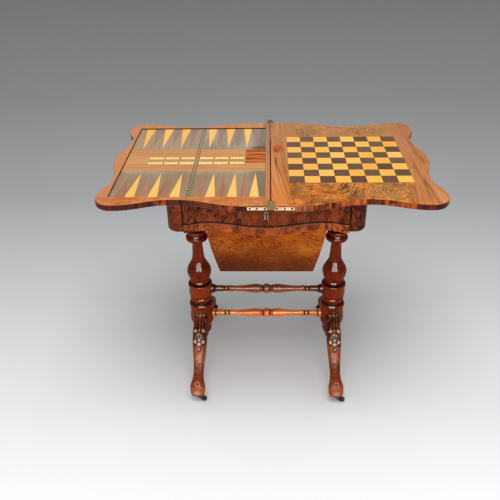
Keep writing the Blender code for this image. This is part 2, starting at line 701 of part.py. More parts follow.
def carcase():
    """Posts, friezes, rails and runners."""
    for side_name, sense in SIDES:
        for end_name, end in ENDS:
            corner_post("corner_post_" + end_name + "_" + side_name, sense, end)
        inner, outer = sorted((BASE_X + sense * PANEL_INNER_X, BASE_X + sense * HALF_WIDTH))
        box("frieze_" + side_name, (inner, -(POST_INNER_Y - FIT), CARCASE_BOTTOM),
            (outer, POST_INNER_Y - FIT, CARCASE_TOP), BURR_WALNUT)
        runner(side_name, sense)
    serpentine_plate("frieze_back", POST_INNER_X - FIT, HALF_DEPTH - PANEL_THICKNESS,
                     CARCASE_BOTTOM, CARCASE_TOP, 1, BURR_WALNUT)
    rail = serpentine_plate("top_rail_front", POST_INNER_X - FIT, POST_INNER_Y,
                            RAIL_BOTTOM, CARCASE_TOP, -1, BURR_WALNUT)
    cut(rail, bolt_space("bolt_mortise", RAIL_BOTTOM - OVERRUN,
                         RAIL_BOTTOM + BOLT_TRAVEL + SHADOW_GAP, SHADOW_GAP))
    pivot_rail = box("pivot_rail", (BASE_X - RUNNER_OUTER_X, PIVOT_Y - PIVOT_RAIL_HALF,
                                    PIVOT_RAIL_BOTTOM),
                     (BASE_X + RUNNER_OUTER_X, PIVOT_Y + PIVOT_RAIL_HALF, CARCASE_TOP),
                     CARCASE_WOOD)
    cut(pivot_rail, pivot_bore("rail_bore", PIVOT_RAIL_BOTTOM, CARCASE_TOP))


def runner(side_name, sense):
    """A runner that carries the drawer on its top and the slide's tongue in its groove."""
    length = POST_INNER_Y - FIT
    inner, outer = sorted((BASE_X + sense * RUNNER_INNER_X, BASE_X + sense * RUNNER_OUTER_X))
    bar = box("runner_" + side_name, (inner, -length, CARCASE_BOTTOM),
              (outer, length, DRAWER_LOW - FIT), CARCASE_WOOD)
    mouth, bottom = sorted((BASE_X + sense * (RUNNER_INNER_X - OVERRUN),
                            BASE_X + sense * (SLIDE_EDGE_X + TONGUE_DEPTH + FIT)))
    half = TONGUE_HEIGHT / 2 + FIT
    cut(bar, box("groove_" + side_name, (mouth, -length - OVERRUN, SLIDE_MIDDLE_Z - half),
                 (bottom, length + OVERRUN, SLIDE_MIDDLE_Z + half)))


# The drawer

def keyhole_tools(name, front_y, back_y):
    """The round and the slot of a keyhole, as two cutters between two depths."""
    eye = rod(name + "_eye", KEYHOLE_RADIUS, (BASE_X, front_y, KEYHOLE_Z),
              (BASE_X, back_y, KEYHOLE_Z), STEM_SIDES)
    slot = box(name + "_slot", (BASE_X - KEYHOLE_SLOT / 2, front_y, KEYHOLE_Z - KEYHOLE_DROP),
               (BASE_X + KEYHOLE_SLOT / 2, back_y, KEYHOLE_Z))
    return eye, slot


def bolt_space(name, low, high, slack):
    """The space that the lock bolt slides in."""
    return box(name, (BASE_X - BOLT_WIDTH / 2 - slack, BOLT_Y - BOLT_THICKNESS / 2 - slack, low),
               (BASE_X + BOLT_WIDTH / 2 + slack, BOLT_Y + BOLT_THICKNESS / 2 + slack, high))


def escutcheon_outline(slack=0):
    """The escutcheon's outline: a round head over a skirt that widens to its foot."""
    radius, foot = ESCUTCHEON_HEAD_RADIUS + slack, ESCUTCHEON_FOOT + slack
    start = math.asin((ESCUTCHEON_NECK + slack) / radius)
    outline = [(BASE_X - foot, KEYHOLE_Z - ESCUTCHEON_DROP - slack),
               (BASE_X + foot, KEYHOLE_Z - ESCUTCHEON_DROP - slack)]
    for step in range(ESCUTCHEON_STEPS + 1):
        angle = start + 2 * (math.pi - start) * step / ESCUTCHEON_STEPS
        outline.append((BASE_X + radius * math.sin(angle), KEYHOLE_Z - radius * math.cos(angle)))
    return outline


def drawer_front():
    """The serpentine front, grooved for the bottom and cut for the lock and its key."""
    front = serpentine_plate("drawer_front", POST_INNER_X - SHADOW_GAP, -FRONT_BACK_Y,
                             DRAWER_LOW, DRAWER_TOP, -1, BURR_WALNUT)
    lock_half = LOCK_WIDTH / 2 + FIT
    crown_y = -(HALF_DEPTH + CROWN_DEPTH)
    cut(front,
        box("lock_mortise", (BASE_X - lock_half, LOCK_FRONT_Y - FIT, DRAWER_TOP - LOCK_HEIGHT - FIT),
            (BASE_X + lock_half, FRONT_BACK_Y + OVERRUN, DRAWER_TOP + OVERRUN)),
        *keyhole_tools("front_keyhole", crown_y - OVERRUN, LOCK_FRONT_Y),
        plate("escutcheon_recess", escutcheon_outline(FIT), crown_y - OVERRUN,
              crown_y + ESCUTCHEON_SINK + FIT, "XZ"),
        box("front_groove", (BASE_X - DRAWER_INNER_X, FRONT_BACK_Y - DRAWER_GROOVE, groove_low()),
            (BASE_X + DRAWER_INNER_X, FRONT_BACK_Y + OVERRUN, groove_high())))
    face_y, back_y = crown_y + ESCUTCHEON_SINK - ESCUTCHEON_THICKNESS, crown_y + ESCUTCHEON_SINK
    escutcheon = plate("escutcheon", escutcheon_outline(), face_y, back_y, "XZ", BRASS)
    cut(escutcheon, *keyhole_tools("escutcheon_keyhole", face_y - OVERRUN, crown_y + OVERRUN))
    return [front, escutcheon]


def groove_low():
    """The lower cheek of the groove that holds the drawer's bottom."""
    return DRAWER_LOW + DRAWER_BOTTOM_LIFT


def groove_high():
    """The upper cheek of that groove."""
    return groove_low() + DRAWER_BOTTOM + 2 * FIT


def drawer_side(side_name, sense):
    """A drawer side with the bottom's groove in its inner face."""
    inner, outer = sorted((BASE_X + sense * DRAWER_INNER_X, BASE_X + sense * DRAWER_OUTER_X))
    side = box("drawer_side_" + side_name, (inner, DRAWER_FRONT_Y, DRAWER_LOW),
               (outer, DRAWER_END_Y, DRAWER_TOP - DRAWER_SIDE_DROP), CARCASE_WOOD)
    mouth, bottom = sorted((BASE_X + sense * (DRAWER_INNER_X - OVERRUN),
                            BASE_X + sense * (DRAWER_INNER_X + DRAWER_GROOVE)))
    cut(side, box("side_groove_" + side_name, (mouth, DRAWER_FRONT_Y - OVERRUN, groove_low()),
                  (bottom, DRAWER_END_Y + OVERRUN, groove_high())))
    return side


def drawer_lock():
    """The lock case in the front's mortise, open at the top for its bolt."""
    case = box("lock_case", (BASE_X - LOCK_WIDTH / 2, LOCK_FRONT_Y, DRAWER_TOP - LOCK_HEIGHT),
               (BASE_X + LOCK_WIDTH / 2, FRONT_BACK_Y, DRAWER_TOP), BRASS)
    cut(case, bolt_space("bolt_well", DRAWER_TOP - BOLT_LENGTH - FIT, DRAWER_TOP + OVERRUN, FIT),
        *keyhole_tools("case_keyhole", LOCK_FRONT_Y - OVERRUN, LOCK_FRONT_Y + KEYWAY_DEPTH))
    bolt = bolt_space("lock_bolt", DRAWER_TOP - BOLT_LENGTH, DRAWER_TOP, 0)
    bolt.data.materials.append(BRASS)
    return case, bolt


def drawer():
    """The drawer, its lock and the bolt that the key lifts."""
    pieces = drawer_front()
    pieces += [drawer_side(side_name, sense) for side_name, sense in SIDES]
    bottom_z = groove_low() + FIT
    tuck = DRAWER_INNER_X + DRAWER_GROOVE - FIT
    pieces.append(box("drawer_bottom", (BASE_X - tuck, DRAWER_FRONT_Y, bottom_z),
                      (BASE_X + tuck, DRAWER_END_Y, bottom_z + DRAWER_BOTTOM), CARCASE_WOOD))
    inner = DRAWER_INNER_X - FIT
    pieces.append(box("drawer_back",
                      (BASE_X - inner, DRAWER_END_Y - DRAWER_SIDE, bottom_z + DRAWER_BOTTOM + FIT),
                      (BASE_X + inner, DRAWER_END_Y, RAIL_BOTTOM - DRAWER_BACK_DROP), CARCASE_WOOD))
    case, bolt = drawer_lock()
    pieces.append(case)
    drawer_axis = body_axis("drawer_slide_axis", (BASE_X, FRONT_BACK_Y, DRAWER_LOW))
    bolt_axis = body_axis("lock_bolt_axis", (BASE_X, BOLT_Y, DRAWER_TOP))
    carry(drawer_axis, pieces + [bolt_axis])
    carry(bolt_axis, [bolt])


# The work box

def box_half_width(height_share):
    """Half the work box's width: it draws in on a curve towards the bottom."""
    fall = (1 - height_share) ** BOX_CURVE_POWER
    return BOX_TOP_HALF - BOX_TAPER * fall


def box_flank(start_z, inset=0):
    """Points up one flank of the box, from a height to its top."""
    start_share = (start_z - BOX_LOW) / BOX_HEIGHT
    points = []
    for step in range(BOX_CURVE_STEPS + 1):
        share = start_share + (1 - start_share) * step / BOX_CURVE_STEPS
        points.append((box_half_width(share) - inset, BOX_LOW + share * BOX_HEIGHT))
    return points


def work_box():
    """The band, the slide with its tongues, and the box that hangs under it."""
    band = serpentine_plate("slide_front", POST_INNER_X - SHADOW_GAP, -FRONT_BACK_Y,
                            CARCASE_BOTTOM, BAND_TOP, -1, BURR_WALNUT)
    pieces = [band, slide_frame()]
    flank = box_flank(BOX_LOW)
    outline = [(BASE_X + x, z) for x, z in flank] + [(BASE_X - x, z) for x, z in reversed(flank)]
    for end_name, end in ENDS:
        near, far = sorted((end * BOX_INNER_Y, end * -BOX_FRONT_Y))
        pieces.append(plate("box_" + end_name, outline, near, far, "XZ", BOX_VENEER))
    reach = BOX_INNER_Y - FIT
    floor_top = BOX_LOW + BOX_BOTTOM
    for side_name, sense in SIDES:
        outside = box_flank(floor_top + FIT)
        inside = box_flank(floor_top + FIT, BOX_WALL)
        wall = [(BASE_X + sense * x, z) for x, z in outside + inside[::-1]]
        pieces.append(plate("box_" + side_name, wall, -reach, reach, "XZ", BOX_VENEER))
    floor_half = box_half_width(0)
    pieces.append(box("box_bottom", (BASE_X - floor_half, -reach, BOX_LOW),
                      (BASE_X + floor_half, reach, floor_top), BOX_VENEER))
    carry(body_axis("work_box_slide_axis", (BASE_X, FRONT_BACK_Y, SLIDE_MIDDLE_Z)), pieces)


def slide_frame():
    """The slide: a frame with a tongue along each side, open over the box."""
    frame = box("slide_frame", (BASE_X - SLIDE_EDGE_X, SLIDE_FRONT_Y, SLIDE_LOW),
                (BASE_X + SLIDE_EDGE_X, -SLIDE_FRONT_Y, SLIDE_HIGH), CARCASE_WOOD)
    for side_name, sense in SIDES:
        root, tip = sorted((BASE_X + sense * (SLIDE_EDGE_X - OVERRUN),
                            BASE_X + sense * (SLIDE_EDGE_X + TONGUE_DEPTH)))
        join(frame, box("tongue_" + side_name,
                        (root, SLIDE_FRONT_Y, SLIDE_MIDDLE_Z - TONGUE_HEIGHT / 2),
                        (tip, -SLIDE_FRONT_Y, SLIDE_MIDDLE_Z + TONGUE_HEIGHT / 2)))
    opening = BOX_TOP_HALF - BOX_WALL
    cut(frame, box("slide_opening", (BASE_X - opening, -BOX_INNER_Y, SLIDE_LOW - OVERRUN),
                   (BASE_X + opening, BOX_INNER_Y, SLIDE_HIGH + OVERRUN)))
    return frame


# The base

def column_level(height_share):
    """The height of a place on the column."""
    return PENDANT_HEIGHT + height_share * COLUMN_HEIGHT


def column_radius(height_share):
    """The column's radius at a height, read from its profile."""
    for (high, high_r), (low, low_r) in zip(COLUMN_SHARES, COLUMN_SHARES[1:]):
        if low <= height_share <= high:
            blend = (height_share - low) / (high - low)
            return COLUMN_RADIUS * (low_r + blend * (high_r - low_r))
    return COLUMN_RADIUS


def columns():
    """Two turned columns, cut for the legs' and the stretchers' tenons."""
    tenon_top = COLUMN_TOP + COLUMN_TENON_LENGTH
    profile = [(0, tenon_top), (COLUMN_TENON_RADIUS, tenon_top), (COLUMN_TENON_RADIUS, COLUMN_TOP)]
    profile += [(radius * COLUMN_RADIUS, column_level(height)) for height, radius in COLUMN_SHARES]
    profile.append((0, PENDANT_HEIGHT))
    for side_name, sense in SIDES:
        place = BASE_X + sense * COLUMN_X
        column = turned("column_" + side_name, profile, COLUMN_SIDES, TURNED_WALNUT)
        column.location.x = place
        for end_name, end in ENDS:
            name = end_name + "_" + side_name
            near, far = sorted((end * LEG_SEAT, end * (COLUMN_RADIUS + OVERRUN)))
            seat = box("leg_seat_" + name, (place - COLUMN_RADIUS, near, BLOCK_LOW - FIT),
                       (place + COLUMN_RADIUS, far, BLOCK_TOP + FIT))
            cut(column, seat, leg_tenon("leg_mortise_" + name, place, end, FIT))
        for level_name, share in STRETCHERS:
            cut(column, stretcher_tenon("bore_" + level_name + "_" + side_name, sense, share, FIT))


def leg_tenon(name, place, end, slack):
    """The tongue that holds a leg in its column, from inside the leg to its tip."""
    tip = LEG_ROOT - LEG_TENON_LENGTH - slack
    near, far = sorted((end * tip, end * (LEG_ROOT + 2 * OVERRUN)))
    return box(name, (place - LEG_TENON_WIDTH / 2 - slack, near,
                      LEG_TENON_Z - LEG_TENON_HEIGHT / 2 - slack),
               (place + LEG_TENON_WIDTH / 2 + slack, far,
                LEG_TENON_Z + LEG_TENON_HEIGHT / 2 + slack))


def stretcher_reach(share):
    """How far a stretcher's shoulder lies from the middle: a little inside the column's round."""
    return COLUMN_X - column_radius(share) + STRETCHER_RADIUS ** 2 / column_radius(share)


def widest_column(share):
    """The column's largest radius behind a stretcher's shoulder."""
    span = STRETCHER_RADIUS / COLUMN_HEIGHT
    return max(column_radius(share - span), column_radius(share), column_radius(share + span))


def stretcher_tenon(name, sense, share, slack):
    """The round tenon at one end of a stretcher."""
    root = COLUMN_X - column_radius(share) - OVERRUN
    tip = COLUMN_X - column_radius(share) + STRETCHER_TENON_LENGTH + slack
    return rod(name, STRETCHER_TENON_RADIUS + slack, (BASE_X + sense * root, 0, column_level(share)),
               (BASE_X + sense * tip, 0, column_level(share)), STRETCHER_SIDES)


def stretchers():
    """Two turned stretchers, one over the other, scribed to the columns."""
    for name, share in STRETCHERS:
        reach = stretcher_reach(share)
        half = [(radius * STRETCHER_RADIUS, place * reach) for place, radius in STRETCHER_SHARES]
        profile = [(0, reach)] + half[::-1] + [(r, -z) for r, z in half[1:]] + [(0, -reach)]
        bar = turned("stretcher_" + name, profile, STRETCHER_SIDES, TURNED_WALNUT)
        bar.rotation_euler.y = QUARTER_TURN
        bar.location = (BASE_X, 0, column_level(share))
        for side_name, sense in SIDES:
            place = BASE_X + sense * COLUMN_X
            spread = 2 * STRETCHER_RADIUS
            scribe = rod("scribe_" + name + "_" + side_name, widest_column(share) + FIT,
                         (place, 0, column_level(share) - spread),
                         (place, 0, column_level(share) + spread), 2 * COLUMN_SIDES)
            cut(bar, scribe)
            join(bar, stretcher_tenon("tenon_" + name + "_" + side_name, sense, share, 0))


def bearers():
    """A bearer on each column, under the carcase's runner."""
    for side_name, sense in SIDES:
        place = BASE_X + sense * COLUMN_X
        bearer = box("bearer_" + side_name, (place - BEARER_WIDTH / 2, -BEARER_END_Y, BEARER_LOW),
                     (place + BEARER_WIDTH / 2, BEARER_END_Y, BEARER_TOP), CARCASE_WOOD)
        low = -BEARER_THICKNESS / 2
        round_edges(bearer, lambda a, b: abs(a.z - low) < WELD and abs(b.z - low) < WELD,
                    BEARER_ROUND, 2)
        cut(bearer, rod("bearer_bore_" + side_name, COLUMN_TENON_RADIUS + FIT,
                        (place, 0, BEARER_LOW - OVERRUN),
                        (place, 0, COLUMN_TOP + COLUMN_TENON_LENGTH + FIT), COLUMN_SIDES))


def leg_point(shares, end):
    """A place on a leg's side view, from its shares of reach and height."""
    reach = LEG_ROOT + shares[0] * (LEG_SPREAD - LEG_ROOT)
    return Vector((0, end * reach, FOOT_HEIGHT + shares[1] * (BLOCK_TOP - FOOT_HEIGHT)))


def rounded_square(angle):
    """A point on a unit square with well rounded corners."""
    cosine, sine = math.cos(angle), math.sin(angle)
    return (math.copysign(abs(cosine) ** LEG_SQUARENESS, cosine),
            math.copysign(abs(sine) ** LEG_SQUARENESS, sine))


def leg(name, place, end):
    """A cabriole leg, lofted from the column's block down to the foot."""
    bm = bmesh.new()
    rings = []
    for back, underside, width_share in LEG_SECTION_SHARES:
        back, underside = leg_point(back, end), leg_point(underside, end)
        middle, half_depth = (back + underside) / 2, (back - underside) / 2
        half_width = Vector((LEG_WIDTH * width_share / 2, 0, 0))
        ring = []
        for side in range(LEG_SIDES):
            across, deep = rounded_square(2 * math.pi * side / LEG_SIDES)
            ring.append(bm.verts.new(middle + across * half_width + deep * half_depth))
        rings.append(ring)
    for ring, next_ring in zip(rings, rings[1:]):
        for side in range(LEG_SIDES):
            after = (side + 1) % LEG_SIDES
            bm.faces.new((ring[side], ring[after], next_ring[after], next_ring[side]))
    bm.faces.new(rings[0])
    bm.faces.new(rings[-1])
    mesh = mesh_from(bm, name)
    mesh.shade_smooth()
    piece = add_object(name, mesh, CARVED_WALNUT)
    piece.location.x = place
    join(piece, leg_tenon("tenon_" + name, place, end, 0))
    centre_y = swivel_y() * end
    cut(piece, rod("stem_bore_" + name, STEM_RADIUS + FIT,
                   (place, centre_y, FOOT_HEIGHT - OVERRUN),
                   (place, centre_y, CROWN_TOP + STEM_LENGTH + FIT), STEM_SIDES))


def swivel_y():
    """How far forward the castors swivel: under the middle of the foot."""
    toe, heel, _ = LEG_SECTION_SHARES[-1]
    return (leg_point(toe, 1).y + leg_point(heel, 1).y) / 2


def legs():
    """Four legs, one at the front and one at the back of each column."""
    for side_name, sense in SIDES:
        for end_name, end in ENDS:
            leg("leg_" + end_name + "_" + side_name, BASE_X + sense * COLUMN_X, end)


# The castors

def fork_pattern():
    """A fork about its own swivel axis, trailing along X, as one mesh."""
    low, crown_low = WHEEL_RADIUS, CROWN_TOP - CROWN_THICKNESS
    fork = turned("fork_pattern", [
        (0, CROWN_TOP + STEM_LENGTH), (STEM_RADIUS, CROWN_TOP + STEM_LENGTH),
        (STEM_RADIUS, CROWN_TOP), (CROWN_RADIUS, CROWN_TOP), (CROWN_RADIUS, crown_low),
        (0, crown_low)], STEM_SIDES, DARK_IRON)
    inner = WHEEL_WIDTH / 2 + CHEEK_PLAY
    outer = inner + CHEEK_THICKNESS
    cheek = [(-CHEEK_ROOT, crown_low + CROWN_THICKNESS / 2),
             (CHEEK_ROOT, crown_low + CROWN_THICKNESS / 2)]
    steps = 2 * CURVE_STEPS
    for step in range(steps + 1):
        angle = CHEEK_LEAN - math.pi * step / steps
        cheek.append((TRAIL + CHEEK_ROUND * math.cos(angle), low + CHEEK_ROUND * math.sin(angle)))
    for name, sense in SIDES:
        near, far = sorted((sense * inner, sense * outer))
        join(fork, plate("cheek_" + name, cheek, near, far, "XZ"))
    join(fork, rod("fork_axle", AXLE_RADIUS, (TRAIL, -inner - CHEEK_THICKNESS / 2, low),
                   (TRAIL, inner + CHEEK_THICKNESS / 2, low), STEM_SIDES))
    return take_mesh(fork)


def plate_pattern():
    """A castor's plate, a disc with a hole for the stem."""
    low, bore = PLATE_TOP - PLATE_THICKNESS, STEM_RADIUS + FIT
    disc = turned("plate_pattern", [
        (bore, PLATE_TOP), (PLATE_RADIUS, PLATE_TOP), (PLATE_RADIUS, low), (bore, low),
        (bore, PLATE_TOP)], WHEEL_SIDES, DARK_IRON)
    return take_mesh(disc)


def wheel_pattern():
    """A wheel with softened rims, about its own axle."""
    bore, half = AXLE_RADIUS + FIT, WHEEL_WIDTH / 2
    rim = WHEEL_RADIUS - WHEEL_ROUND
    wheel = turned("wheel_pattern", [
        (bore, half), (rim, half), (WHEEL_RADIUS, half - WHEEL_ROUND),
        (WHEEL_RADIUS, WHEEL_ROUND - half), (rim, -half), (bore, -half), (bore, half)],
        WHEEL_SIDES, DARK_IRON)
    return take_mesh(wheel)


def take_mesh(piece):
    """Keep a pattern's finished mesh, and take the pattern and its tools away."""
    mesh = evaluated_mesh(piece)
    tools = [change.object for change in piece.modifiers if change.type == "BOOLEAN"]
    for tool in tools + [piece]:
        bpy.data.objects.remove(tool)
    return mesh


def castors():
    """Four castors, each standing as it last rolled."""
    fork_mesh, plate_mesh, wheel_mesh = fork_pattern(), plate_pattern(), wheel_pattern()
    for side_name, sense in SIDES:
        for end_name, end in ENDS:
            corner_name = end_name + "_" + side_name
            place = Vector((BASE_X + sense * COLUMN_X, end * swivel_y(), 0))
            angle = CASTOR_ANGLES[corner_name]
            plate_piece = add_object("castor_plate_" + corner_name, plate_mesh, DARK_IRON)
            plate_piece.location = place
            fork = add_object("castor_fork_" + corner_name, fork_mesh, DARK_IRON)
            fork.location = place
            fork.rotation_euler.z = angle
            swivel_axis = body_axis("castor_swivel_axis_" + corner_name, place)
            carry(swivel_axis, [fork])
            trail = Vector((math.cos(angle), math.sin(angle), 0)) * TRAIL
            wheel = add_object("castor_wheel_" + corner_name, wheel_mesh, DARK_IRON)
            wheel.location = place + trail + Vector((0, 0, WHEEL_RADIUS))
            wheel.rotation_euler = (QUARTER_TURN, 0, angle)
            wheel_axis = body_axis("castor_roll_axis_" + corner_name, wheel.location, angle)
            carry(swivel_axis, [wheel_axis])
            carry(wheel_axis, [wheel])


lower_leaf()
upper_leaf()
carcase()
drawer()
work_box()
columns()
stretchers()
bearers()
legs()
castors()
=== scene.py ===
# %% [markdown]
# # A games and work table, dressed for its picture
#
# The real table is a small Victorian piece in walnut. Its top swivels a quarter turn and unfolds
# into two serpentine leaves, one with a chessboard and one with a sunk backgammon board. Below are
# a shallow drawer, a sliding work box, two turned columns and four carved cabriole legs.
#
# The frame below is the table as solids. This lesson keeps every solid whose shape is already
# right and gives it a finish, and rebuilds the curved, turned and carved ones with finer meshes.

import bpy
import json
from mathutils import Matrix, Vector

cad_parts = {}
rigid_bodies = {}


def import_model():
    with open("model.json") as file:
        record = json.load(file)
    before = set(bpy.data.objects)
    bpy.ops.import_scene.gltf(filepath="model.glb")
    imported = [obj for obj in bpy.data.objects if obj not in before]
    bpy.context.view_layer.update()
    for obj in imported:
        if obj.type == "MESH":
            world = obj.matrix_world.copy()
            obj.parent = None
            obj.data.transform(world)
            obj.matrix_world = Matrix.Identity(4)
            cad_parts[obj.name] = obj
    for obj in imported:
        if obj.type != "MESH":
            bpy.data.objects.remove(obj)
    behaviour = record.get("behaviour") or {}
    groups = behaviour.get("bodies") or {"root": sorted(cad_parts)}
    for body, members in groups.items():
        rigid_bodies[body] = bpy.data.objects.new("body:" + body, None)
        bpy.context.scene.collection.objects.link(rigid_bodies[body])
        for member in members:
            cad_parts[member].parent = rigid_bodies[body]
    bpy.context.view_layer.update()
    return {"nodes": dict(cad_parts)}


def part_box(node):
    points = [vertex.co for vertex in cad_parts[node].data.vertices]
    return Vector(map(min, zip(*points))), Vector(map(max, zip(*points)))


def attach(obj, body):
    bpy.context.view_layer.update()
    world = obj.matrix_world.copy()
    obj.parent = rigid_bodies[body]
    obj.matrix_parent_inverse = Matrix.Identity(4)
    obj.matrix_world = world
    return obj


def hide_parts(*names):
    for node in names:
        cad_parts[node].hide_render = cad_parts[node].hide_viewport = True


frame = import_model()

# %% [markdown]
# ## Levels and places
#
# Every new piece has to sit where its solid sits. A few levels, read from the solids' own boxes,
# give the rest, so that nothing is placed by eye.

# %% Levels and places
import json
import math

import bmesh
import bpy
from mathutils import Matrix, Vector
from mathutils.geometry import interpolate_bezier

SIDES = (("left", -1), ("right", 1))
ENDS = (("front", -1), ("back", 1))
CORNERS = [(end_name + "_" + side_name, sense, end)
           for side_name, sense in SIDES for end_name, end in ENDS]
UNDERSIDE, TOP = [level.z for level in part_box("lower_leaf_board")]
LEAF_WIDTH, LEAF_END = 0.460, 0.300
BASE_X = -0.012
FIT, OVERRUN, HAIR, TINY = 0.0003, 0.002, 0.0001, 1e-6
print("leaf top", round(TOP, 4), "underside", round(UNDERSIDE, 4))


# %% [markdown]
# ## Small tools for meshes
#
# Most of the table is flat shapes with thickness, shapes spun on a lathe, and shapes lofted from
# ring to ring. Each has a short tool. Every piece keeps its origin at the frame's origin, so an
# Object coordinate in a finish is a real place on the table, in metres.

# %% Flat shapes with thickness
def mesh_of(bm, crease=35):
    """Turn a bmesh into a mesh that is smooth except at edges sharper than the crease."""
    bmesh.ops.recalc_face_normals(bm, faces=bm.faces)
    mesh = bpy.data.meshes.new("piece")
    bm.to_mesh(mesh)
    bm.free()
    mesh.shade_smooth()
    mesh.set_sharp_from_angle(angle=math.radians(crease))
    return mesh


def slab(outline, low, high, upright=False):
    """Thicken a flat outline. Upright, its second number is a height and the levels are in Y."""
    bm = bmesh.new()
    near, far = [[bm.verts.new((a, level, b) if upright else (a, b, level)) for a, b in outline]
                 for level in (low, high)]
    bm.faces.new(near)
    bm.faces.new(far)
    for i in range(len(outline)):
        j = (i + 1) % len(outline)
        bm.faces.new((near[i], near[j], far[j], far[i]))
    bmesh.ops.recalc_face_normals(bm, faces=bm.faces)
    return bm


def soften(bm, chosen, radius, steps=4):
    """Round the edges whose two ends satisfy chosen."""
    edges = [edge for edge in bm.edges if chosen(edge.verts[0].co, edge.verts[1].co)]
    bmesh.ops.bevel(bm, geom=edges, offset=radius, offset_type="OFFSET", segments=steps,
                    profile=0.5, affect="EDGES", clamp_overlap=True)
    return bm


def strip(left, front, right, back):
    """A rectangle's outline."""
    return [(left, front), (right, front), (right, back), (left, back)]


def block(low, high):
    """A block between two corners."""
    return slab(strip(low[0], low[1], high[0], high[1]), low[2], high[2])


def rod(radius, start, end, sides=48):
    """A round bar between two points."""
    start, end = Vector(start), Vector(end)
    bm = bmesh.new()
    turn = (end - start).to_track_quat("Z", "Y").to_matrix().to_4x4()
    bmesh.ops.create_cone(bm, cap_ends=True, segments=sides, radius1=radius, radius2=radius,
                          depth=(end - start).length,
                          matrix=Matrix.Translation((start + end) / 2) @ turn)
    return bm


# %% Curves in an outline
SOFT_HANDLE, ROUND_HANDLE, CORNER_STEPS = 0.45, 0.552, 16


def bent(start, end, leave, arrive, handle, steps):
    """A curve that leaves along one direction and arrives along another."""
    start, end, leave, arrive = [Vector((*pair, 0)) for pair in (start, end, leave, arrive)]
    out = leave * abs((end - start).dot(leave)) * handle
    home = arrive * abs((end - start).dot(arrive)) * handle
    points = interpolate_bezier(start, start + out, end - home, end, steps + 1)
    return [point.xy.to_tuple() for point in points[1:]]


def wave(start, end, along, steps=20):
    """An S-shaped stretch that leaves and arrives along one direction."""
    return bent(start, end, along, along, SOFT_HANDLE, steps)


def corner(start, end, leave, arrive):
    """A quarter turn."""
    return bent(start, end, leave, arrive, ROUND_HANDLE, CORNER_STEPS)


# %% Joining, cutting and placing
def joined(parts):
    """Several bmeshes as one."""
    whole = bmesh.new()
    for part in parts:
        mesh = bpy.data.meshes.new("part")
        part.to_mesh(mesh)
        part.free()
        whole.from_mesh(mesh)
        bpy.data.meshes.remove(mesh)
    return whole


def cut_away(shape, tools):
    """Take cutting shapes away from a shape, and give back the finished mesh."""
    work, *helpers = [bpy.data.objects.new("work", mesh_of(part)) for part in (shape, *tools)]
    for thing in (work, *helpers):
        bpy.context.scene.collection.objects.link(thing)
    for helper in helpers:
        change = work.modifiers.new("cut", "BOOLEAN")
        change.operation, change.solver, change.object = "DIFFERENCE", "EXACT", helper
    bpy.context.view_layer.update()
    graph = bpy.context.evaluated_depsgraph_get()
    result = bpy.data.meshes.new_from_object(work.evaluated_get(graph))
    for old in (work, *helpers):
        bpy.data.objects.remove(old)
    return result


def set_down(name, shape, finishes, body, slot, *stands_for):
    """Put a piece on the body that carries it, in place of the solids it stands for."""
    mesh = mesh_of(shape) if isinstance(shape, bmesh.types.BMesh) else shape
    mesh.name = name
    piece = bpy.data.objects.new(name, mesh)
    bpy.context.scene.collection.objects.link(piece)
    for finish in finishes:
        mesh.materials.append(finish)
    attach(piece, body)
    if stands_for:
        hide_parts(*stands_for)


# %% [markdown]
# ## Small tools for finishes
#
# A wood finish is a colour, a gloss and a little relief, and all three come from noise that is
# drawn out along the grain. An image of wood would be quicker, but it can't follow every piece, and
# noise in real metres keeps one scale over the whole table. Colours are written as on a paint
# chart, from 0 to 255.
#
# A finish is a tree of nodes joined by wires. The class below lets a wire be added to, multiplied
# and so on with ordinary signs, and each sign adds the node that does it.

# %% Wires and nodes
class Wire:
    """A number, place or colour on its way through a finish."""

    def __init__(self, socket):
        self.socket = socket

    def reckoned(self, how, *others):
        """One step of arithmetic."""
        return node("Math", dict(enumerate((self, *others))), operation=how)

    def __add__(self, other):
        return self.reckoned("ADD", other)

    def __sub__(self, other):
        return self.reckoned("SUBTRACT", other)

    def __mul__(self, other):
        return self.reckoned("MULTIPLY", other)

    def __abs__(self):
        return self.reckoned("ABSOLUTE")

    __radd__, __rmul__ = __add__, __mul__


def fed(new, feeds):
    """Fill a node's sockets with values or with wires."""
    for key, value in feeds.items():
        if isinstance(value, Wire):
            new.id_data.links.new(value.socket, new.inputs[key])
        else:
            new.inputs[key].default_value = value
    return new


def node(kind, feeds, out=0, tree=None, **settings):
    """Add a node to the tree that its feeds come from, and give back one of its outputs."""
    tree = tree or next(value.socket.id_data for value in feeds.values()
                        if isinstance(value, Wire))
    new = tree.nodes.new("ShaderNode" + kind)
    for key, value in settings.items():
        setattr(new, key, value)
    return Wire(fed(new, feeds).outputs[out])


# %% Places and numbers
def on_places(how, *feeds):
    """One step of arithmetic on all three numbers of a place at once."""
    return node("VectorMath", dict(enumerate(feeds)), "Value" if how == "LENGTH" else "Vector",
                operation=how)


def parts(place):
    """The three numbers of a place: to the right, to the back and up."""
    return [Wire(out) for out in node("SeparateXYZ", {"Vector": place}).socket.node.outputs]


def drawn_out(where, scale, turn=(0, 0, 0)):
    """Stretch or squeeze places along each axis, after a turn."""
    turned = node("Mapping", {"Vector": where, "Rotation": turn}, vector_type="POINT")
    return node("Mapping", {"Vector": turned, "Scale": scale})


def between(value, low, high, to_low=0.0, to_high=1.0):
    """Stretch a value's range, softly and without going past its ends."""
    return node("MapRange", {"Value": value, "From Min": low, "From Max": high,
                             "To Min": to_low, "To Max": to_high},
                interpolation_type="SMOOTHSTEP")


def spot(where, centre, reach, soft=0.5):
    """1 inside a rounded spot about a centre, and 0 outside it."""
    away = on_places("DIVIDE", on_places("SUBTRACT", where, centre), reach)
    return between(on_places("LENGTH", away), 1 - soft, 1 + soft, 1.0, 0.0)


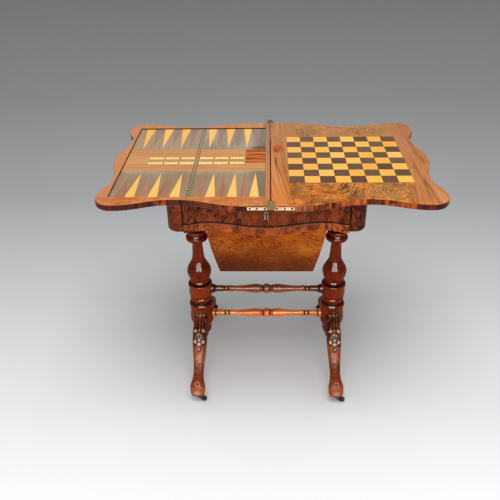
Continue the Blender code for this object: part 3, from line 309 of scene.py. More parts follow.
# %% Noise
def cloud(where, scale, detail=4.0, roughness=0.55, distortion=0.0, out="Fac"):
    """Soft noise, from 0 to 1."""
    return node("TexNoise", {"Vector": where, "Scale": scale, "Detail": detail,
                             "Roughness": roughness, "Distortion": distortion}, out)


def stirred(where, scale, reach):
    """Places pushed about by noise, so that whatever reads them swirls."""
    push = on_places("SUBTRACT", cloud(where, scale, 2.0, 0.5, out="Color"), (0.5, 0.5, 0.5))
    return on_places("MULTIPLY_ADD", push, (reach, reach, reach), where)


def ring_lines(field, count, low=0.86, high=0.99):
    """Thin lines where a soft field passes evenly spaced levels, as growth rings do."""
    return between((field * (2 * math.pi * count)).reckoned("SINE"), low, high)


# %% Colours
def tone(colour):
    """A paint-chart colour in the linear light that a shader reads. Others stay as they are."""
    if isinstance(colour, Wire) or len(colour) == 4:
        return colour
    shares = [value / 255 for value in colour]
    return (*[share / 12.92 if share <= 0.04045 else ((share + 0.055) / 1.055) ** 2.4
              for share in shares], 1)


def deeper(colour, share=0.4):
    """The same colour, with only a share of its light."""
    return (*[share * value for value in tone(colour)[:3]], 1)


def shades(factor, *stops):
    """A ramp of (place, colour) stops."""
    ramp = node("ValToRGB", {"Fac": factor})
    elements = ramp.socket.node.color_ramp.elements
    for element, (place, colour) in zip(elements, (stops[0], stops[-1])):
        element.position, element.color = place, tone(colour)
    for place, colour in stops[1:-1]:
        elements.new(place).color = tone(colour)
    return ramp


def blend(factor, first, second):
    """Mix two colours."""
    return node("Mix", {0: factor, 6: tone(first), 7: tone(second)}, 2, data_type="RGBA")


# %% Starting and polishing a finish
def blank_finish(name):
    """A new finish, and the place on the piece that it covers, in metres."""
    finish = bpy.data.materials.new(name)
    finish.use_nodes = True
    return finish, node("TexCoord", {}, "Object", finish.node_tree)


def dressed(finish, feeds):
    """Fill the sockets of a finish's own shader."""
    fed(finish.node_tree.nodes["Principled BSDF"], feeds)
    return finish


def bump(height, strength, distance, under=None):
    """Relief, on top of other relief if there is any."""
    below = {"Normal": under} if under else {}
    return node("Bump", {"Height": height, "Strength": strength, "Distance": distance, **below})


def polish(finish, colour, height, gloss, coat, relief=0.0004, coat_gloss=0.08, sheen=0.08):
    """Connect colour, relief and gloss, and lay the varnish over them."""
    return dressed(finish, {
        "Base Color": colour, "Normal": bump(height, 0.35, relief),
        "Roughness": between(height, 0.2, 0.8, gloss + 0.06, gloss - 0.04),
        "Specular IOR Level": sheen, "Coat Weight": coat, "Coat Roughness": coat_gloss})


def untouched(where, colour):
    """The touch of a finish that is the same all over."""
    return colour


# %% [markdown]
# ## Straight-grained walnut
#
# The left leaf's border and the strips on both sides of the chessboard are plain veneer, with the
# grain running from front to back. Three bands of noise make it: broad light and dark, fine
# stripes, and a few thin dark lines where the pores gather. A touch then changes the colour by
# place, where one part of a piece has faded, worn or taken a stain.

# %% Straight-grained walnut
LONG_GRAIN = {"X": (0.03, 1, 1), "Y": (1, 0.03, 1), "Z": (1, 1, 0.03)}


def straight_walnut(name, pale, middle, dark, along="Y", gloss=0.36, coat=0.08, lines=0.5,
                    touch=untouched, shift=0.0, lean=None, rings=10, spread=0.14):
    """A plain veneer with its grain along one axis, and a few long dark lines."""
    finish, where = blank_finish(name)
    flow = drawn_out(lean(where) if lean else where, LONG_GRAIN[along])
    stripes = cloud(flow, 190 + shift, 5, 0.62)
    figure = stripes * 0.55 + cloud(flow, 20 + shift, 3, 0.5) * 0.45
    colour = shades(figure, (0.50 - spread, dark), (0.50, middle), (0.50 + spread, pale))
    growth = ring_lines(cloud(flow, 13 + shift, 1, 0.4), rings, 0.91, 1.0)
    growth = growth * between(stripes, 0.36, 0.56, 0.3 * lines, lines)
    colour = touch(where, blend(growth, colour, deeper(dark)))
    return polish(finish, colour, figure, gloss, coat)


def paler_side(where, colour):
    """The border's left side and back are paler, its seam pinker and its front browner."""
    x, y = parts(where)[:2]
    pale = between(x, -0.405, -0.425).reckoned("MAXIMUM", between(y, 0.20, 0.26))
    colour = blend(pale * 0.5, colour, (206, 142, 98))
    seam = between(x, -0.024, -0.020) * between(y, -0.15, 0.10, 0.4, 0.95)
    colour = blend(seam, colour, (166, 116, 86))
    mottle = cloud(drawn_out(where, (0.4, 1, 1)), 90, 4, 0.6)
    browner = shades(mottle, (0.40, (160, 84, 36)), (0.60, (206, 122, 62)))
    return blend(between(y, -0.245, -0.262, 0.0, 0.5), colour, browner)


leaf_border = straight_walnut("leaf_border", (216, 142, 82), (198, 122, 66), (166, 94, 48),
                              lines=0.12, touch=paler_side)


# %% The strips beside the chessboard
def leaning_front(where):
    """Grain that leans to the right towards the front, as the hinge strip's does."""
    x, y, z = parts(where)
    ahead = y.reckoned("MINIMUM", 0.08) - 0.08
    return node("CombineXYZ", {"X": x + ahead * ahead * -0.24, "Y": y, "Z": z})


def hinge_stain(where, colour):
    """An orange stain near the back of the strip, an orange front and a paler back."""
    ahead = parts(where)[1]
    colour = blend(between(ahead, -0.06, -0.24, 0.0, 0.5), colour, (206, 114, 40))
    colour = blend(between(ahead, 0.06, 0.20, 0.0, 0.5), colour, (180, 132, 90))
    stain = spot(where, (0.022, 0.070, TOP), (0.016, 0.028, 1), 0.35)
    streak = cloud(drawn_out(where, (1, 0.1, 1)), 240, 3)
    return blend(stain * 0.9, colour,
                 shades(streak, (0.40, (128, 44, 8)), (0.60, (196, 90, 22))))


hinge_strip = straight_walnut("hinge_strip", (222, 154, 90), (202, 130, 70), (156, 90, 44),
                              lines=1.0, touch=hinge_stain, lean=leaning_front, rings=17,
                              spread=0.12)


def fanning_front(where):
    """Grain that follows the outer side and fans out into the front lobe."""
    x, y, z = parts(where)
    spread = (y + 0.12).reckoned("MINIMUM", 0.0) * 2.2 + 1.0
    return node("CombineXYZ", {"X": (x - 0.400) * spread + 0.400, "Y": y, "Z": z})


def pinker_back(where, colour):
    """The strip's inner back is pinker, and dark specks lie all along it."""
    pink = between(parts(where)[1], -0.10, 0.12, 0.0, 0.35)
    colour = blend(pink, colour, (184, 126, 84))
    speck = between(cloud(drawn_out(where, (1, 0.3, 1)), 320, 2), 0.60, 0.72)
    return blend(speck * 0.35, colour, (110, 58, 30))


outer_strip = straight_walnut("outer_strip", (206, 138, 82), (184, 114, 60), (142, 82, 42),
                              lines=0.7, shift=7, touch=pinker_back, lean=fanning_front,
                              rings=20, spread=0.13)
print("straight veneers:", leaf_border.name, hinge_strip.name, outer_strip.name)


# %% [markdown]
# ## Burr walnut
#
# In front of and behind the chessboard the veneer is burr: wood from a growth on the trunk, where
# the grain turns round many small buds. Noise that bends the places before a second noise reads
# them gives those turns. One real swirl, with rings, lies right of the middle at the front.

# %% Burr walnut
def burr_walnut(name, pale, middle, dark, olive, touch):
    """A mottled veneer whose grain turns round small buds."""
    finish, where = blank_finish(name)
    turned = stirred(stirred(where, 15, 0.05), 60, 0.012)
    field = cloud(turned, 20, 2, 0.5)
    figure = cloud(turned, 58, 6, 0.66) * 0.62 + field * 0.38
    colour = shades(figure, (0.39, dark), (0.48, middle), (0.59, pale))
    colour = blend(between(cloud(where, 18, 3), 0.46, 0.60, 0.0, 0.7), colour, olive)
    colour = blend(ring_lines(field, 11, 0.60, 0.98) * 0.55, colour, deeper(dark, 0.6))
    buds = node("TexVoronoi", {"Vector": turned, "Scale": 80.0}, "Distance")
    colour = blend(between(buds, 0.13, 0.04, 0.0, 0.55), colour, deeper(dark, 0.5))
    return polish(finish, touch(where, colour), figure, gloss=0.32, coat=0.08)


def olive_back(where, colour):
    """The back strip is paler and greener, with curled lines in two places."""
    back = between(parts(where)[1], 0.10, 0.18, 0.0, 0.5)
    colour = blend(back, colour, (192, 142, 90))
    curls = node("TexWave", {"Vector": stirred(where, 22, 0.045), "Scale": 34.0,
                             "Distortion": 3.0, "Detail": 2.0}, "Fac")
    for x, reach in ((0.118, 0.034), (0.300, 0.060)):
        place = spot(where, (x, 0.215, TOP), (reach, 0.05, 1), 0.5)
        colour = blend(between(curls, 0.45, 0.15) * place * 0.6, colour, (92, 62, 32))
    return colour


def front_swirl(where, colour):
    """The ringed swirl in the front strip, and the slanted streaks to its left."""
    streaked = spot(where, (0.205, -0.205, TOP), (0.030, 0.045, 1), 0.4)
    slanted = drawn_out(stirred(where, 30, 0.02), (1, 0.12, 1), (0, 0, 0.45))
    dark_light = shades(cloud(slanted, 170, 3, 0.55), (0.42, (70, 44, 18)),
                        (0.50, (168, 104, 46)), (0.58, (214, 144, 76)))
    colour = blend(streaked * 0.85, olive_back(where, colour), dark_light)
    near = spot(where, (0.312, -0.222, TOP), (0.062, 0.050, 1), 0.35)
    away = on_places("SUBTRACT", stirred(stirred(where, 30, 0.030), 110, 0.010),
                     (0.322, -0.226, TOP))
    rings = node("TexWave", {"Vector": away, "Scale": 34.0, "Distortion": 6.0, "Detail": 3.0},
                 "Fac", wave_type="RINGS", rings_direction="Z")
    lined = shades(rings, (0.10, (104, 76, 36)), (0.45, (168, 112, 54)),
                   (0.85, (210, 152, 86)))
    broken = between(cloud(where, 90, 3, 0.6), 0.34, 0.58, 0.15, 0.8)
    return blend(near * broken, colour, lined)


leaf_burr = burr_walnut("leaf_burr", (222, 138, 56), (190, 106, 38), (112, 60, 22),
                        (134, 92, 42), front_swirl)
print("burr veneer:", leaf_burr.name)


# %% [markdown]
# ## Cross-banded rims
#
# The leaves' edges are veneered with short pieces laid side by side with their grain upright, and
# each piece took the stain differently. Cells along the edge, each with a random tone, show the
# separate pieces. Eight pieces in the front edges stand out in the picture, four of them a clear
# orange and four nearly black, and each gets its own tones.

# %% Cross-banded rims
def veneer_pieces(where, per_metre, out="Color", **kind):
    """Cells laid along a front, a back and a side alike."""
    x, y = parts(where)[:2]
    return node("TexVoronoi", {"W": y * 0.9 + x, "Scale": per_metre}, out,
                voronoi_dimensions="1D", **kind)


def piece_shades(where, per_metre):
    """A random shade for each piece of veneer along the run."""
    return node("SeparateColor", {"Color": veneer_pieces(where, per_metre)})


def seams(where, per_metre, width=0.05):
    """A thin dark line where two pieces of veneer meet."""
    edge = veneer_pieces(where, per_metre, "Distance", feature="DISTANCE_TO_EDGE")
    return between(edge, width, 0.0)


def crossbanded(name, pale, middle, dark, touch, per_metre=22):
    """Upright grain in separate pieces, some of them nearly black."""
    finish, where = blank_finish(name)
    upright = drawn_out(stirred(where, 30, 0.006), (1, 1, 0.10))
    figure = cloud(upright, 100, 5, 0.62) * 0.5 + cloud(stirred(where, 40, 0.03), 46, 4) * 0.5
    colour = shades(figure, (0.41, dark), (0.49, middle), (0.58, pale))
    deep = between(piece_shades(where, per_metre), 0.30, 0.80, 0.0, 0.85)
    colour = blend(deep, colour, deeper(dark, 0.7))
    colour = blend(seams(where, per_metre) * 0.7, colour, deeper(dark))
    return polish(finish, touch(where, colour), figure, gloss=0.30, coat=0.08)


RIM_PIECES = (
    (-0.395, 0.060, (34, 12, 12), (96, 34, 18)), (-0.235, 0.030, (30, 12, 8), (84, 42, 24)),
    (-0.170, 0.034, (58, 26, 14), (112, 56, 30)), (0.072, 0.036, (132, 62, 28), (188, 108, 60)),
    (0.212, 0.034, (150, 58, 20), (206, 102, 46)), (0.274, 0.018, (52, 22, 8), (112, 54, 22)),
    (0.348, 0.026, (120, 44, 14), (188, 88, 32)), (0.420, 0.052, (34, 10, 8), (112, 36, 16)),
)


def front_pieces(where, colour):
    """Lighter orange and nearly black pieces in the leaves' front edges."""
    grain = cloud(drawn_out(where, (1, 1, 0.10)), 120, 4)
    for middle, reach, dark, pale in RIM_PIECES:
        place = spot(where, (middle, -0.27, TOP - 0.01), (reach, 0.075, 1), 0.06)
        colour = blend(place * 0.9, colour, shades(grain, (0.40, dark), (0.60, pale)))
    return colour


rim_banding = crossbanded("rim_banding", (184, 80, 30), (116, 44, 16), (44, 14, 7),
                          front_pieces)
print("rims:", rim_banding.name)


# %% [markdown]
# ## The two leaves
#
# Each leaf is a board with a serpentine outline: a flat stretch at the hinge, a dip, a rounded
# lobe at the corner, and two waves along the outer side. The solid draws those curves with few
# points, so they show corners close up. Here the same curves get about twenty points each, the
# rims get a full round, and the recesses for the field, hinges and pivot flange are cut again.
#
# After that the top face is split along the joints of the veneer, so that each piece of veneer has
# its own grain with a crisp joint, as a cabinet maker lays it.

# %% The leaves' outline
HINGE_FLAT, SHORT_DIP, LONG_DIP, LOBE_DROP = 0.063, 0.0375, 0.024, 0.006
SHORT_DIP_SHARE, SHORT_LOBE_SHARE, LONG_LOBE_SHARE, LONG_DIP_SHARE = 0.556, 0.895, 0.81, 0.477
MEETING_GAP = 0.0006


def leaf_outline():
    """The right leaf's outline, from the hinge line at the front round to the back."""
    flat = (HINGE_FLAT, -LEAF_END)
    short_dip = (SHORT_DIP_SHARE * LEAF_WIDTH, -(LEAF_END - SHORT_DIP))
    short_lobe = (SHORT_LOBE_SHARE * LEAF_WIDTH, -(LEAF_END - LOBE_DROP))
    long_lobe = (LEAF_WIDTH, -LONG_LOBE_SHARE * LEAF_END)
    long_dip = (LEAF_WIDTH - LONG_DIP, -LONG_DIP_SHARE * LEAF_END)
    half = [(MEETING_GAP, -LEAF_END), flat]
    half += wave(flat, short_dip, (1, 0))
    half += wave(short_dip, short_lobe, (1, 0))
    half += corner(short_lobe, long_lobe, (1, 0), (0, 1))
    half += wave(long_lobe, long_dip, (0, 1), 14)
    half += wave(long_dip, (LEAF_WIDTH, 0), (0, 1), 14)
    return half + [(x, -y) for x, y in reversed(half[:-1])]


print("leaf outline:", len(leaf_outline()), "points")

# %% A leaf with its recesses
EDGE_ROUND, ARM_DROP, ARM_HEIGHT = 0.004, 0.0055, 0.0085
HINGE_ROOM, ARM_ROOM, LUG_ROOM = 0.0043, 0.0603, 0.0118
ARM_TOP, ARM_LOW = TOP - ARM_DROP, TOP - ARM_DROP - ARM_HEIGHT
LEVEL, STEEP, FACING_DOWN = 0.99, 0.35, -0.7


def leaf_board(sense, rooms):
    """A leaf with rounded rims, cut for its two hinges and for the other rooms it needs."""
    def on_rim(a, b):
        level = abs(a.z - b.z) < TINY and min(abs(a.z - TOP), abs(a.z - UNDERSIDE)) < TINY
        return level and max(abs(a.x), abs(b.x)) > 2 * MEETING_GAP

    outline = [(sense * x, y) for x, y in leaf_outline()]
    for _, end in ENDS:
        near, far = sorted((end * (LEAF_END - HINGE_ROOM), end * (LEAF_END + OVERRUN)))
        left, right = sorted((-sense * OVERRUN, sense * ARM_ROOM))
        rooms = rooms + [block((left, near, ARM_LOW - FIT), (right, far, ARM_TOP + FIT)),
                         rod(LUG_ROOM, (0, near, TOP + FIT), (0, far, TOP + FIT))]
    return cut_away(soften(slab(outline, UNDERSIDE, TOP), on_rim, EDGE_ROUND, 5), rooms)


def in_hinge_room(middle):
    """Whether a face is a wall of one of the hinges' rooms."""
    deep = FIT < LEAF_END - abs(middle.y) < HINGE_ROOM + FIT
    beside_arm = abs(middle.x) < ARM_ROOM + FIT and ARM_LOW - OVERRUN < middle.z < ARM_TOP + OVERRUN
    return deep and (beside_arm or abs(middle.x) < LUG_ROOM + HAIR)


def veneer_top(mesh, joints, pick):
    """Split the top face along the veneer's joints and give every face its finish."""
    bm = bmesh.new()
    bm.from_mesh(mesh)
    for point, normal in joints:
        top = [face for face in bm.faces
               if face.normal.z > LEVEL and face.verts[0].co.z > TOP - HAIR]
        split = top + list({edge for face in top for edge in face.edges})
        split += list({vert for face in top for vert in face.verts})
        bmesh.ops.bisect_plane(bm, geom=split, plane_co=(*point, TOP), plane_no=(*normal, 0))
    bmesh.ops.recalc_face_normals(bm, faces=bm.faces)
    for face in bm.faces:
        face.material_index = pick(face)
    return mesh_of(bm)


def under_or_edge(face):
    """Whether a face is the underside, and whether it stands or lies deeper than the rim."""
    middle = face.calc_center_bounds()
    under = face.normal.z < FACING_DOWN and middle.z < UNDERSIDE + OVERRUN
    return under, middle.z < TOP - EDGE_ROUND - FIT or face.normal.z < STEEP, middle


# %% [markdown]
# ### Right leaf
#
# Four pieces of veneer surround the chessboard: the hinge strip, burr at the front and back, and a
# straight-grained outer strip that is mitred into the front burr. Inside the recesses is bare
# wood.

# %% Right leaf
bare_walnut = straight_walnut("bare_walnut", (170, 112, 70), (142, 88, 54), (96, 56, 34),
                              gloss=0.6, coat=0.0, lines=0.4)
BOARD_X, BOARD_ROOM, BOARD_DEPTH = 0.219, 0.1683, 0.0023
PIVOT, FLANGE_ROOM, FLANGE_DEPTH = (0.109, 0.121), 0.0243, 0.0033
HINGE_JOINT, OUTER_JOINT = 0.0506, 0.3874
MITRE_START, MITRE_RUN = Vector((0.3874, -0.168)), Vector((-0.032, -0.10))
AT_HINGE, AT_BURR, AT_OUTSIDE, AT_BARE, AT_RIM = range(5)


def right_leaf_veneer(face):
    """Which finish a face of the right leaf takes."""
    under, edge, middle = under_or_edge(face)
    if under or edge:
        inside = max(abs(middle.x - BOARD_X), abs(middle.y)) < BOARD_ROOM + OVERRUN
        return AT_BARE if under or inside or in_hinge_room(middle) else AT_RIM
    middle = face.calc_center_median()
    if middle.x < HINGE_JOINT:
        return AT_HINGE
    past_mitre = (middle.xy - MITRE_START).cross(MITRE_RUN) < 0
    outside = middle.x > OUTER_JOINT or (middle.y < MITRE_START.y and past_mitre)
    return AT_OUTSIDE if outside else AT_BURR


right_mesh = leaf_board(1, [
    block((BOARD_X - BOARD_ROOM, -BOARD_ROOM, TOP - BOARD_DEPTH),
          (BOARD_X + BOARD_ROOM, BOARD_ROOM, TOP + OVERRUN)),
    rod(FLANGE_ROOM, (*PIVOT, UNDERSIDE - OVERRUN), (*PIVOT, UNDERSIDE + FLANGE_DEPTH))])
mitre_side = Vector((-MITRE_RUN.y, MITRE_RUN.x)).normalized()
right_mesh = veneer_top(right_mesh, [((HINGE_JOINT, 0), (1, 0)), ((OUTER_JOINT, 0), (1, 0)),
                                     ((0, MITRE_START.y), (0, 1)), (MITRE_START, mitre_side)],
                        right_leaf_veneer)
set_down("right_leaf", right_mesh, [hinge_strip, leaf_burr, outer_strip, bare_walnut, rim_banding],
         "lower_leaf", "burr_walnut", "lower_leaf_board")
print("right leaf:", len(right_mesh.polygons), "faces")

# %% [markdown]
# ### Left leaf
#
# Its border is one plain veneer, as narrow as 14 mm beside the hinge, round a well 3 mm deep.

# %% Left leaf
FIELD_LOW, FIELD_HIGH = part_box("backgammon_field")
WELL_DEPTH, WELL_HALF, WELL_MARGIN = 0.003, 0.208, 0.001
AT_BORDER, AT_BARE, AT_RIM, AT_WELL_SHADE = range(4)
GAP = Vector((FIT, FIT, FIT))


def left_leaf_veneer(face):
    """Which finish a face of the left leaf takes."""
    under, edge, middle = under_or_edge(face)
    if not under and not edge:
        return AT_BORDER
    inside = (abs(middle.x + BOARD_X) < WELL_HALF
              and abs(middle.y) < FIELD_HIGH.y + WELL_MARGIN)
    # The well's walls take the dark finish as painted shade.
    if inside and not under and middle.z > TOP - WELL_DEPTH - HAIR:
        return AT_WELL_SHADE
    return AT_BARE if under or inside or in_hinge_room(middle) else AT_RIM


field_room = block(FIELD_LOW - GAP, (FIELD_HIGH.x + FIT, FIELD_HIGH.y + FIT, TOP + OVERRUN))
left_mesh = veneer_top(leaf_board(-1, [field_room]), [], left_leaf_veneer)
# A dark finish for the hinge line, and painted shade on the well's walls and beside them.
dark_edge_and_shade = straight_walnut("dark_edge_and_shade", (84, 40, 22), (62, 28, 16), (40, 18, 10),
                            gloss=0.45, coat=0.05, lines=0.3)
set_down("left_leaf", left_mesh, [leaf_border, bare_walnut, rim_banding, dark_edge_and_shade], "upper_leaf",
         "burr_walnut", "upper_leaf_board")
print("left leaf:", len(left_mesh.polygons), "faces")


# %% [markdown]
# ## The chessboard
#
# Sixty-four squares of satinwood and dyed wood are laid flush. The solid under them is one flat
# panel and already right, so the squares are its finish: whole-number places give each square its
# own tone, and a thin dark line marks each joint. The front right square is light.

# %% The chessboard
SQUARE = 0.042
BOARD_LOW, BOARD_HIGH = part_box("chess_field")


def chess_squares():
    """Light and dark squares, each cut from its own piece of veneer."""
    finish, where = blank_finish("chess_squares")
    local = on_places("SUBTRACT", where, BOARD_LOW)
    local = on_places("MULTIPLY", local, (1 / SQUARE, 1 / SQUARE, 0))
    count = on_places("FLOOR", local)
    across, ahead = parts(count)[:2]
    light = (across + ahead).reckoned("FLOORED_MODULO", 2.0)
    own = node("TexWhiteNoise", {"Vector": count}, "Value", noise_dimensions="3D") * 0.5
    grain = cloud(drawn_out(where, (1, 0.08, 1)), 220, 4, 0.6)
    pale = shades(own + grain * 0.5, (0.15, (240, 164, 60)), (0.55, (248, 184, 76)),
                  (0.90, (252, 198, 102)))
    pale = blend(between(parts(where)[0], 0.30, 0.06, 0.0, 0.45), pale, (252, 178, 88))
    deep = shades(own + cloud(where, 34, 3) * 0.5, (0.2, (90, 64, 46)), (0.5, (104, 76, 56)),
                  (0.85, (110, 92, 74)))
    inside = on_places("SUBTRACT", on_places("FRACTION", local), (0.5, 0.5, 0))
    across, ahead = parts(on_places("ABSOLUTE", inside))[:2]
    joint = between(across.reckoned("MAXIMUM", ahead), 0.486, 0.497)
    colour = blend(joint * 0.45, blend(light, deep, pale), (70, 44, 26))
    return polish(finish, colour, grain, gloss=0.34, coat=0.08, relief=0.0003)


def dress(finish, *names):
    """Give solids whose shape is already right their finish."""
    for name in names:
        mesh = frame["nodes"][name].data
        mesh.materials.clear()
        mesh.materials.append(finish)


dress(chess_squares(), "chess_field")
print("chessboard:", round((BOARD_HIGH - BOARD_LOW).x, 4), "m across")


# %% [markdown]
# ## The backgammon board
#
# The field is dyed wood, grey-green with its grain from front to back. Twelve light points and
# twelve faint red ones, a tan middle band, two lines of rope stringing and a cribbage scorer are
# let into it. Each is a real sheet of veneer a tenth of a millimetre proud, so its edges stay sharp
# at any distance.

# %% The field's ground
FIELD_TOP, SUNK = FIELD_HIGH.z, 0.0002


def field_ground():
    """Dyed veneer, greener in places and browner in others."""
    finish, where = blank_finish("field_ground")
    grain = cloud(drawn_out(where, (1, 0.05, 1)), 260, 5, 0.6)
    figure = grain * 0.45 + cloud(drawn_out(where, (1, 0.4, 1)), 16, 3, 0.6) * 0.55
    colour = shades(figure, (0.36, (132, 118, 100)), (0.49, (152, 140, 120)),
                    (0.62, (174, 158, 136)))
    x, y = parts(where)[:2]
    tanned = spot(where, (-0.42, 0.17, 0.737), (0.19, 0.10, 1), 0.4) * 0.5
    dark = spot(where, (-0.034, 0.088, 0.737), (0.026, 0.012, 1), 0.5) * 0.7
    for share, shade in ((between(y, -0.08, -0.11, 0.0, 0.55), (150, 114, 78)),
                         (tanned, (182, 140, 100)),
                         (between(x, -0.070, -0.030, 0.0, 0.5), (104, 98, 84)),
                         (dark, (96, 48, 26))):
        colour = blend(share, colour, shade)
    return polish(finish, colour, grain, gloss=0.38, coat=0.1, relief=0.0003)


dress(field_ground(), "backgammon_field")
print("field top:", round(FIELD_TOP, 4))


def inlay(name, shapes, finish, lift=0.00012):
    """Sheets of veneer on the field, made as one piece."""
    sheets = joined([slab(outline, FIELD_TOP - SUNK, FIELD_TOP + lift) for outline in shapes])
    set_down(name, sheets, [finish], "upper_leaf", "field_inlay")


# %% The points
LIGHT_FRONT = (-0.3646, -0.3080, -0.2483, -0.1583, -0.0988, -0.0420)
RED_FRONT = (-0.3946, -0.3360, -0.2774, -0.1880, -0.1296, -0.0712)
LIGHT_BACK = (-0.3916, -0.3323, -0.2754, -0.1872, -0.1293, -0.0723)
RED_BACK = (-0.3620, -0.3040, -0.2460, -0.1585, -0.1005, -0.0430)
LEANS, UPRIGHT = (0.0060, 0.0015, 0.0040, 0.0, 0.0025, 0.0015), (0, 0, 0, 0, 0, 0)
POINT_HALF, LIGHT_TIPS, RED_TIPS = 0.0134, (-0.0962, 0.085), (-0.110, 0.100)


def points(middles, base, tip, leans=UPRIGHT):
    """Long triangles, each with its base on the field's edge, a few of them laid askew."""
    return [[(x - lean - POINT_HALF, base), (x - lean + POINT_HALF, base), (x, tip)]
            for x, lean in zip(middles, leans)]


def fainter_back(where, colour):
    """The red points at the back have nearly faded to the ground's grey."""
    back = between(parts(where)[1], 0.0, 0.12, 0.0, 0.65)
    return blend(back, colour, (148, 132, 120))


satinwood = straight_walnut("satinwood", (255, 202, 114), (253, 188, 94), (244, 166, 72),
                            gloss=0.34, lines=0.05)
red_stain = straight_walnut("red_stain", (180, 130, 100), (164, 114, 86), (144, 96, 70),
                            gloss=0.38, coat=0.1, lines=0.15, touch=fainter_back)
inlay("light_points", points(LIGHT_FRONT, FIELD_LOW.y, LIGHT_TIPS[0], LEANS)
      + points(LIGHT_BACK, FIELD_HIGH.y, LIGHT_TIPS[1]), satinwood)
inlay("red_points", points(RED_FRONT, FIELD_LOW.y, RED_TIPS[0])
      + points(RED_BACK, FIELD_HIGH.y, RED_TIPS[1]), red_stain)
print("points:", len(LIGHT_FRONT + RED_FRONT + LIGHT_BACK + RED_BACK))

# %% The middle band
BAND_FRONT, BAND_BACK, BAND_GAP = -0.0850, 0.0760, 0.0002


def darker_end(where, colour):
    """The band's right end, where the veneer is a darker orange with dark streaks."""
    x, y = parts(where)[:2]
    end = between(x, -0.078, -0.070) * between(y, -0.034, -0.022)
    streak = cloud(drawn_out(where, (0.05, 1, 1)), 150, 4, 0.6)
    orange = shades(streak, (0.40, (112, 44, 8)), (0.49, (184, 90, 20)), (0.62, (206, 124, 58)))
    return blend(end, colour, orange)


tan_band = straight_walnut("tan_band", (218, 162, 106), (204, 146, 92), (184, 124, 74),
                           along="X", lines=0.1, touch=darker_end)
inlay("middle_band", [strip(FIELD_LOW.x + BAND_GAP, BAND_FRONT, FIELD_HIGH.x - BAND_GAP,
                            BAND_BACK)], tan_band, lift=0.00014)
print("middle band:", round(BAND_BACK - BAND_FRONT, 3), "m wide")


# %% [markdown]
# ### Rope stringing and the scorer
#
# Twisted-rope stringing is a line of tiny slanted slips, light and dark in turn. A slanted stripe
# in the finish makes the slips, because two hundred of them would be no clearer as meshes at this
# size. The scorer's bone diamonds are large enough to model. Each has a small dark disc where its
# peg hole is, painted shade in place of the hole.

# %% Rope stringing
ROPE_PITCH, ROPE_HALF, ROPE_PLACES = 0.0155, 0.0021, (-0.2204, -0.2126)


def rope_pattern():
    """Slanted light and dark slips."""
    finish, where = blank_finish("rope_pattern")
    x, y = parts(where)[:2]
    turn = ((x * 1.6 + y) * (2 * math.pi / ROPE_PITCH)).reckoned("SINE")
    wood = cloud(where, 300, 3)
    colour = blend(between(turn, -0.20, 0.10), (12, 4, 2), (180, 152, 116))
    colour = blend(wood * 0.2, colour, (120, 84, 54))
    return polish(finish, colour, wood, gloss=0.38, coat=0.1, relief=0.0002)


inlay("rope_stringing", [strip(x - ROPE_HALF, FIELD_LOW.y, x + ROPE_HALF, FIELD_HIGH.y)
                         for x in ROPE_PLACES], rope_pattern(), lift=0.0002)
print("ropes:", len(ROPE_PLACES))

# %% The scorer's shapes
GROUPS = ((-0.3578, -0.3143), (-0.3108, -0.2700), (-0.2643, -0.2235),
          (-0.2084, -0.1684), (-0.1638, -0.1229), (-0.1183, -0.0766))
ROWS = (0.0090, -0.0275)
CHAINS = [(left, right, row) for row in ROWS for left, right in GROUPS]
DIAMONDS, WAIST_HALF, DIAMOND_HALF, HOLE = 6, 0.0040, 0.0094, 0.0009
BED_HALF, SLIP_HALF, SLIP_START, SLIP_END = 0.0090, 0.0072, 0.0004, 0.0028
LINE_FRONT, LINE_BACK = -0.0120, -0.0068


def bone_chain(left, right, row):
    """Touching diamonds, joined at their waists, as one outline."""
    pitch = (right - left) / DIAMONDS
    upper = []
    for number in range(DIAMONDS):
        upper += [(left + number * pitch, WAIST_HALF),
                  (left + (number + 0.5) * pitch, DIAMOND_HALF)]
    upper.append((right, WAIST_HALF))
    return [(x, row + y) for x, y in upper] + [(x, row - y) for x, y in reversed(upper)]


def peg_hole_shade(left, right, row):
    """Small dark rounds in the diamonds' middles, painted shade where the peg holes are."""
    pitch = (right - left) / DIAMONDS
    middles = [left + (number + 0.5) * pitch for number in range(DIAMONDS)]
    return [[(middle + HOLE * math.cos(math.pi * k / 6), row + HOLE * math.sin(math.pi * k / 6))
             for k in range(12)] for middle in middles]


# %% The scorer
bone = straight_walnut("bone", (255, 236, 172), (252, 222, 140), (232, 190, 100),
                       along="X", gloss=0.28, coat=0.3, lines=0.1)
dark_slip = straight_walnut("dark_slip", (122, 92, 62), (98, 68, 44), (62, 40, 26),
                            gloss=0.34, coat=0.2, lines=0.3)
grey_slip = straight_walnut("grey_slip", (164, 140, 108), (144, 120, 90), (120, 98, 72),
                            along="X", gloss=0.34, coat=0.2, lines=0.2)
slip_bed = straight_walnut("slip_bed", (176, 114, 62), (156, 96, 48), (126, 72, 34),
                           along="X", gloss=0.34, lines=0.1)
inlay("scorer_bed", [strip(left, row - BED_HALF, right, row + BED_HALF)
                     for left, right, row in CHAINS], slip_bed, lift=0.00018)
inlay("scorer_bones", [bone_chain(*chain) for chain in CHAINS], bone, lift=0.00026)
# Dark discs of painted shade stand in for the peg holes.
inlay("scorer_hole_shade", [hole for chain in CHAINS for hole in peg_hole_shade(*chain)], dark_slip,
      lift=0.00030)
inlay("scorer_slips", [strip(right + SLIP_START, row - SLIP_HALF, right + SLIP_END,
                             row + SLIP_HALF)
                       for row in ROWS for _, right in GROUPS[:2] + GROUPS[3:5]],
      dark_slip, lift=0.00022)
inlay("scorer_line", [strip(GROUPS[0][0], LINE_FRONT, GROUPS[-1][1], LINE_BACK)], grey_slip,
      lift=0.00022)
print("scorer diamonds:", DIAMONDS * len(CHAINS))
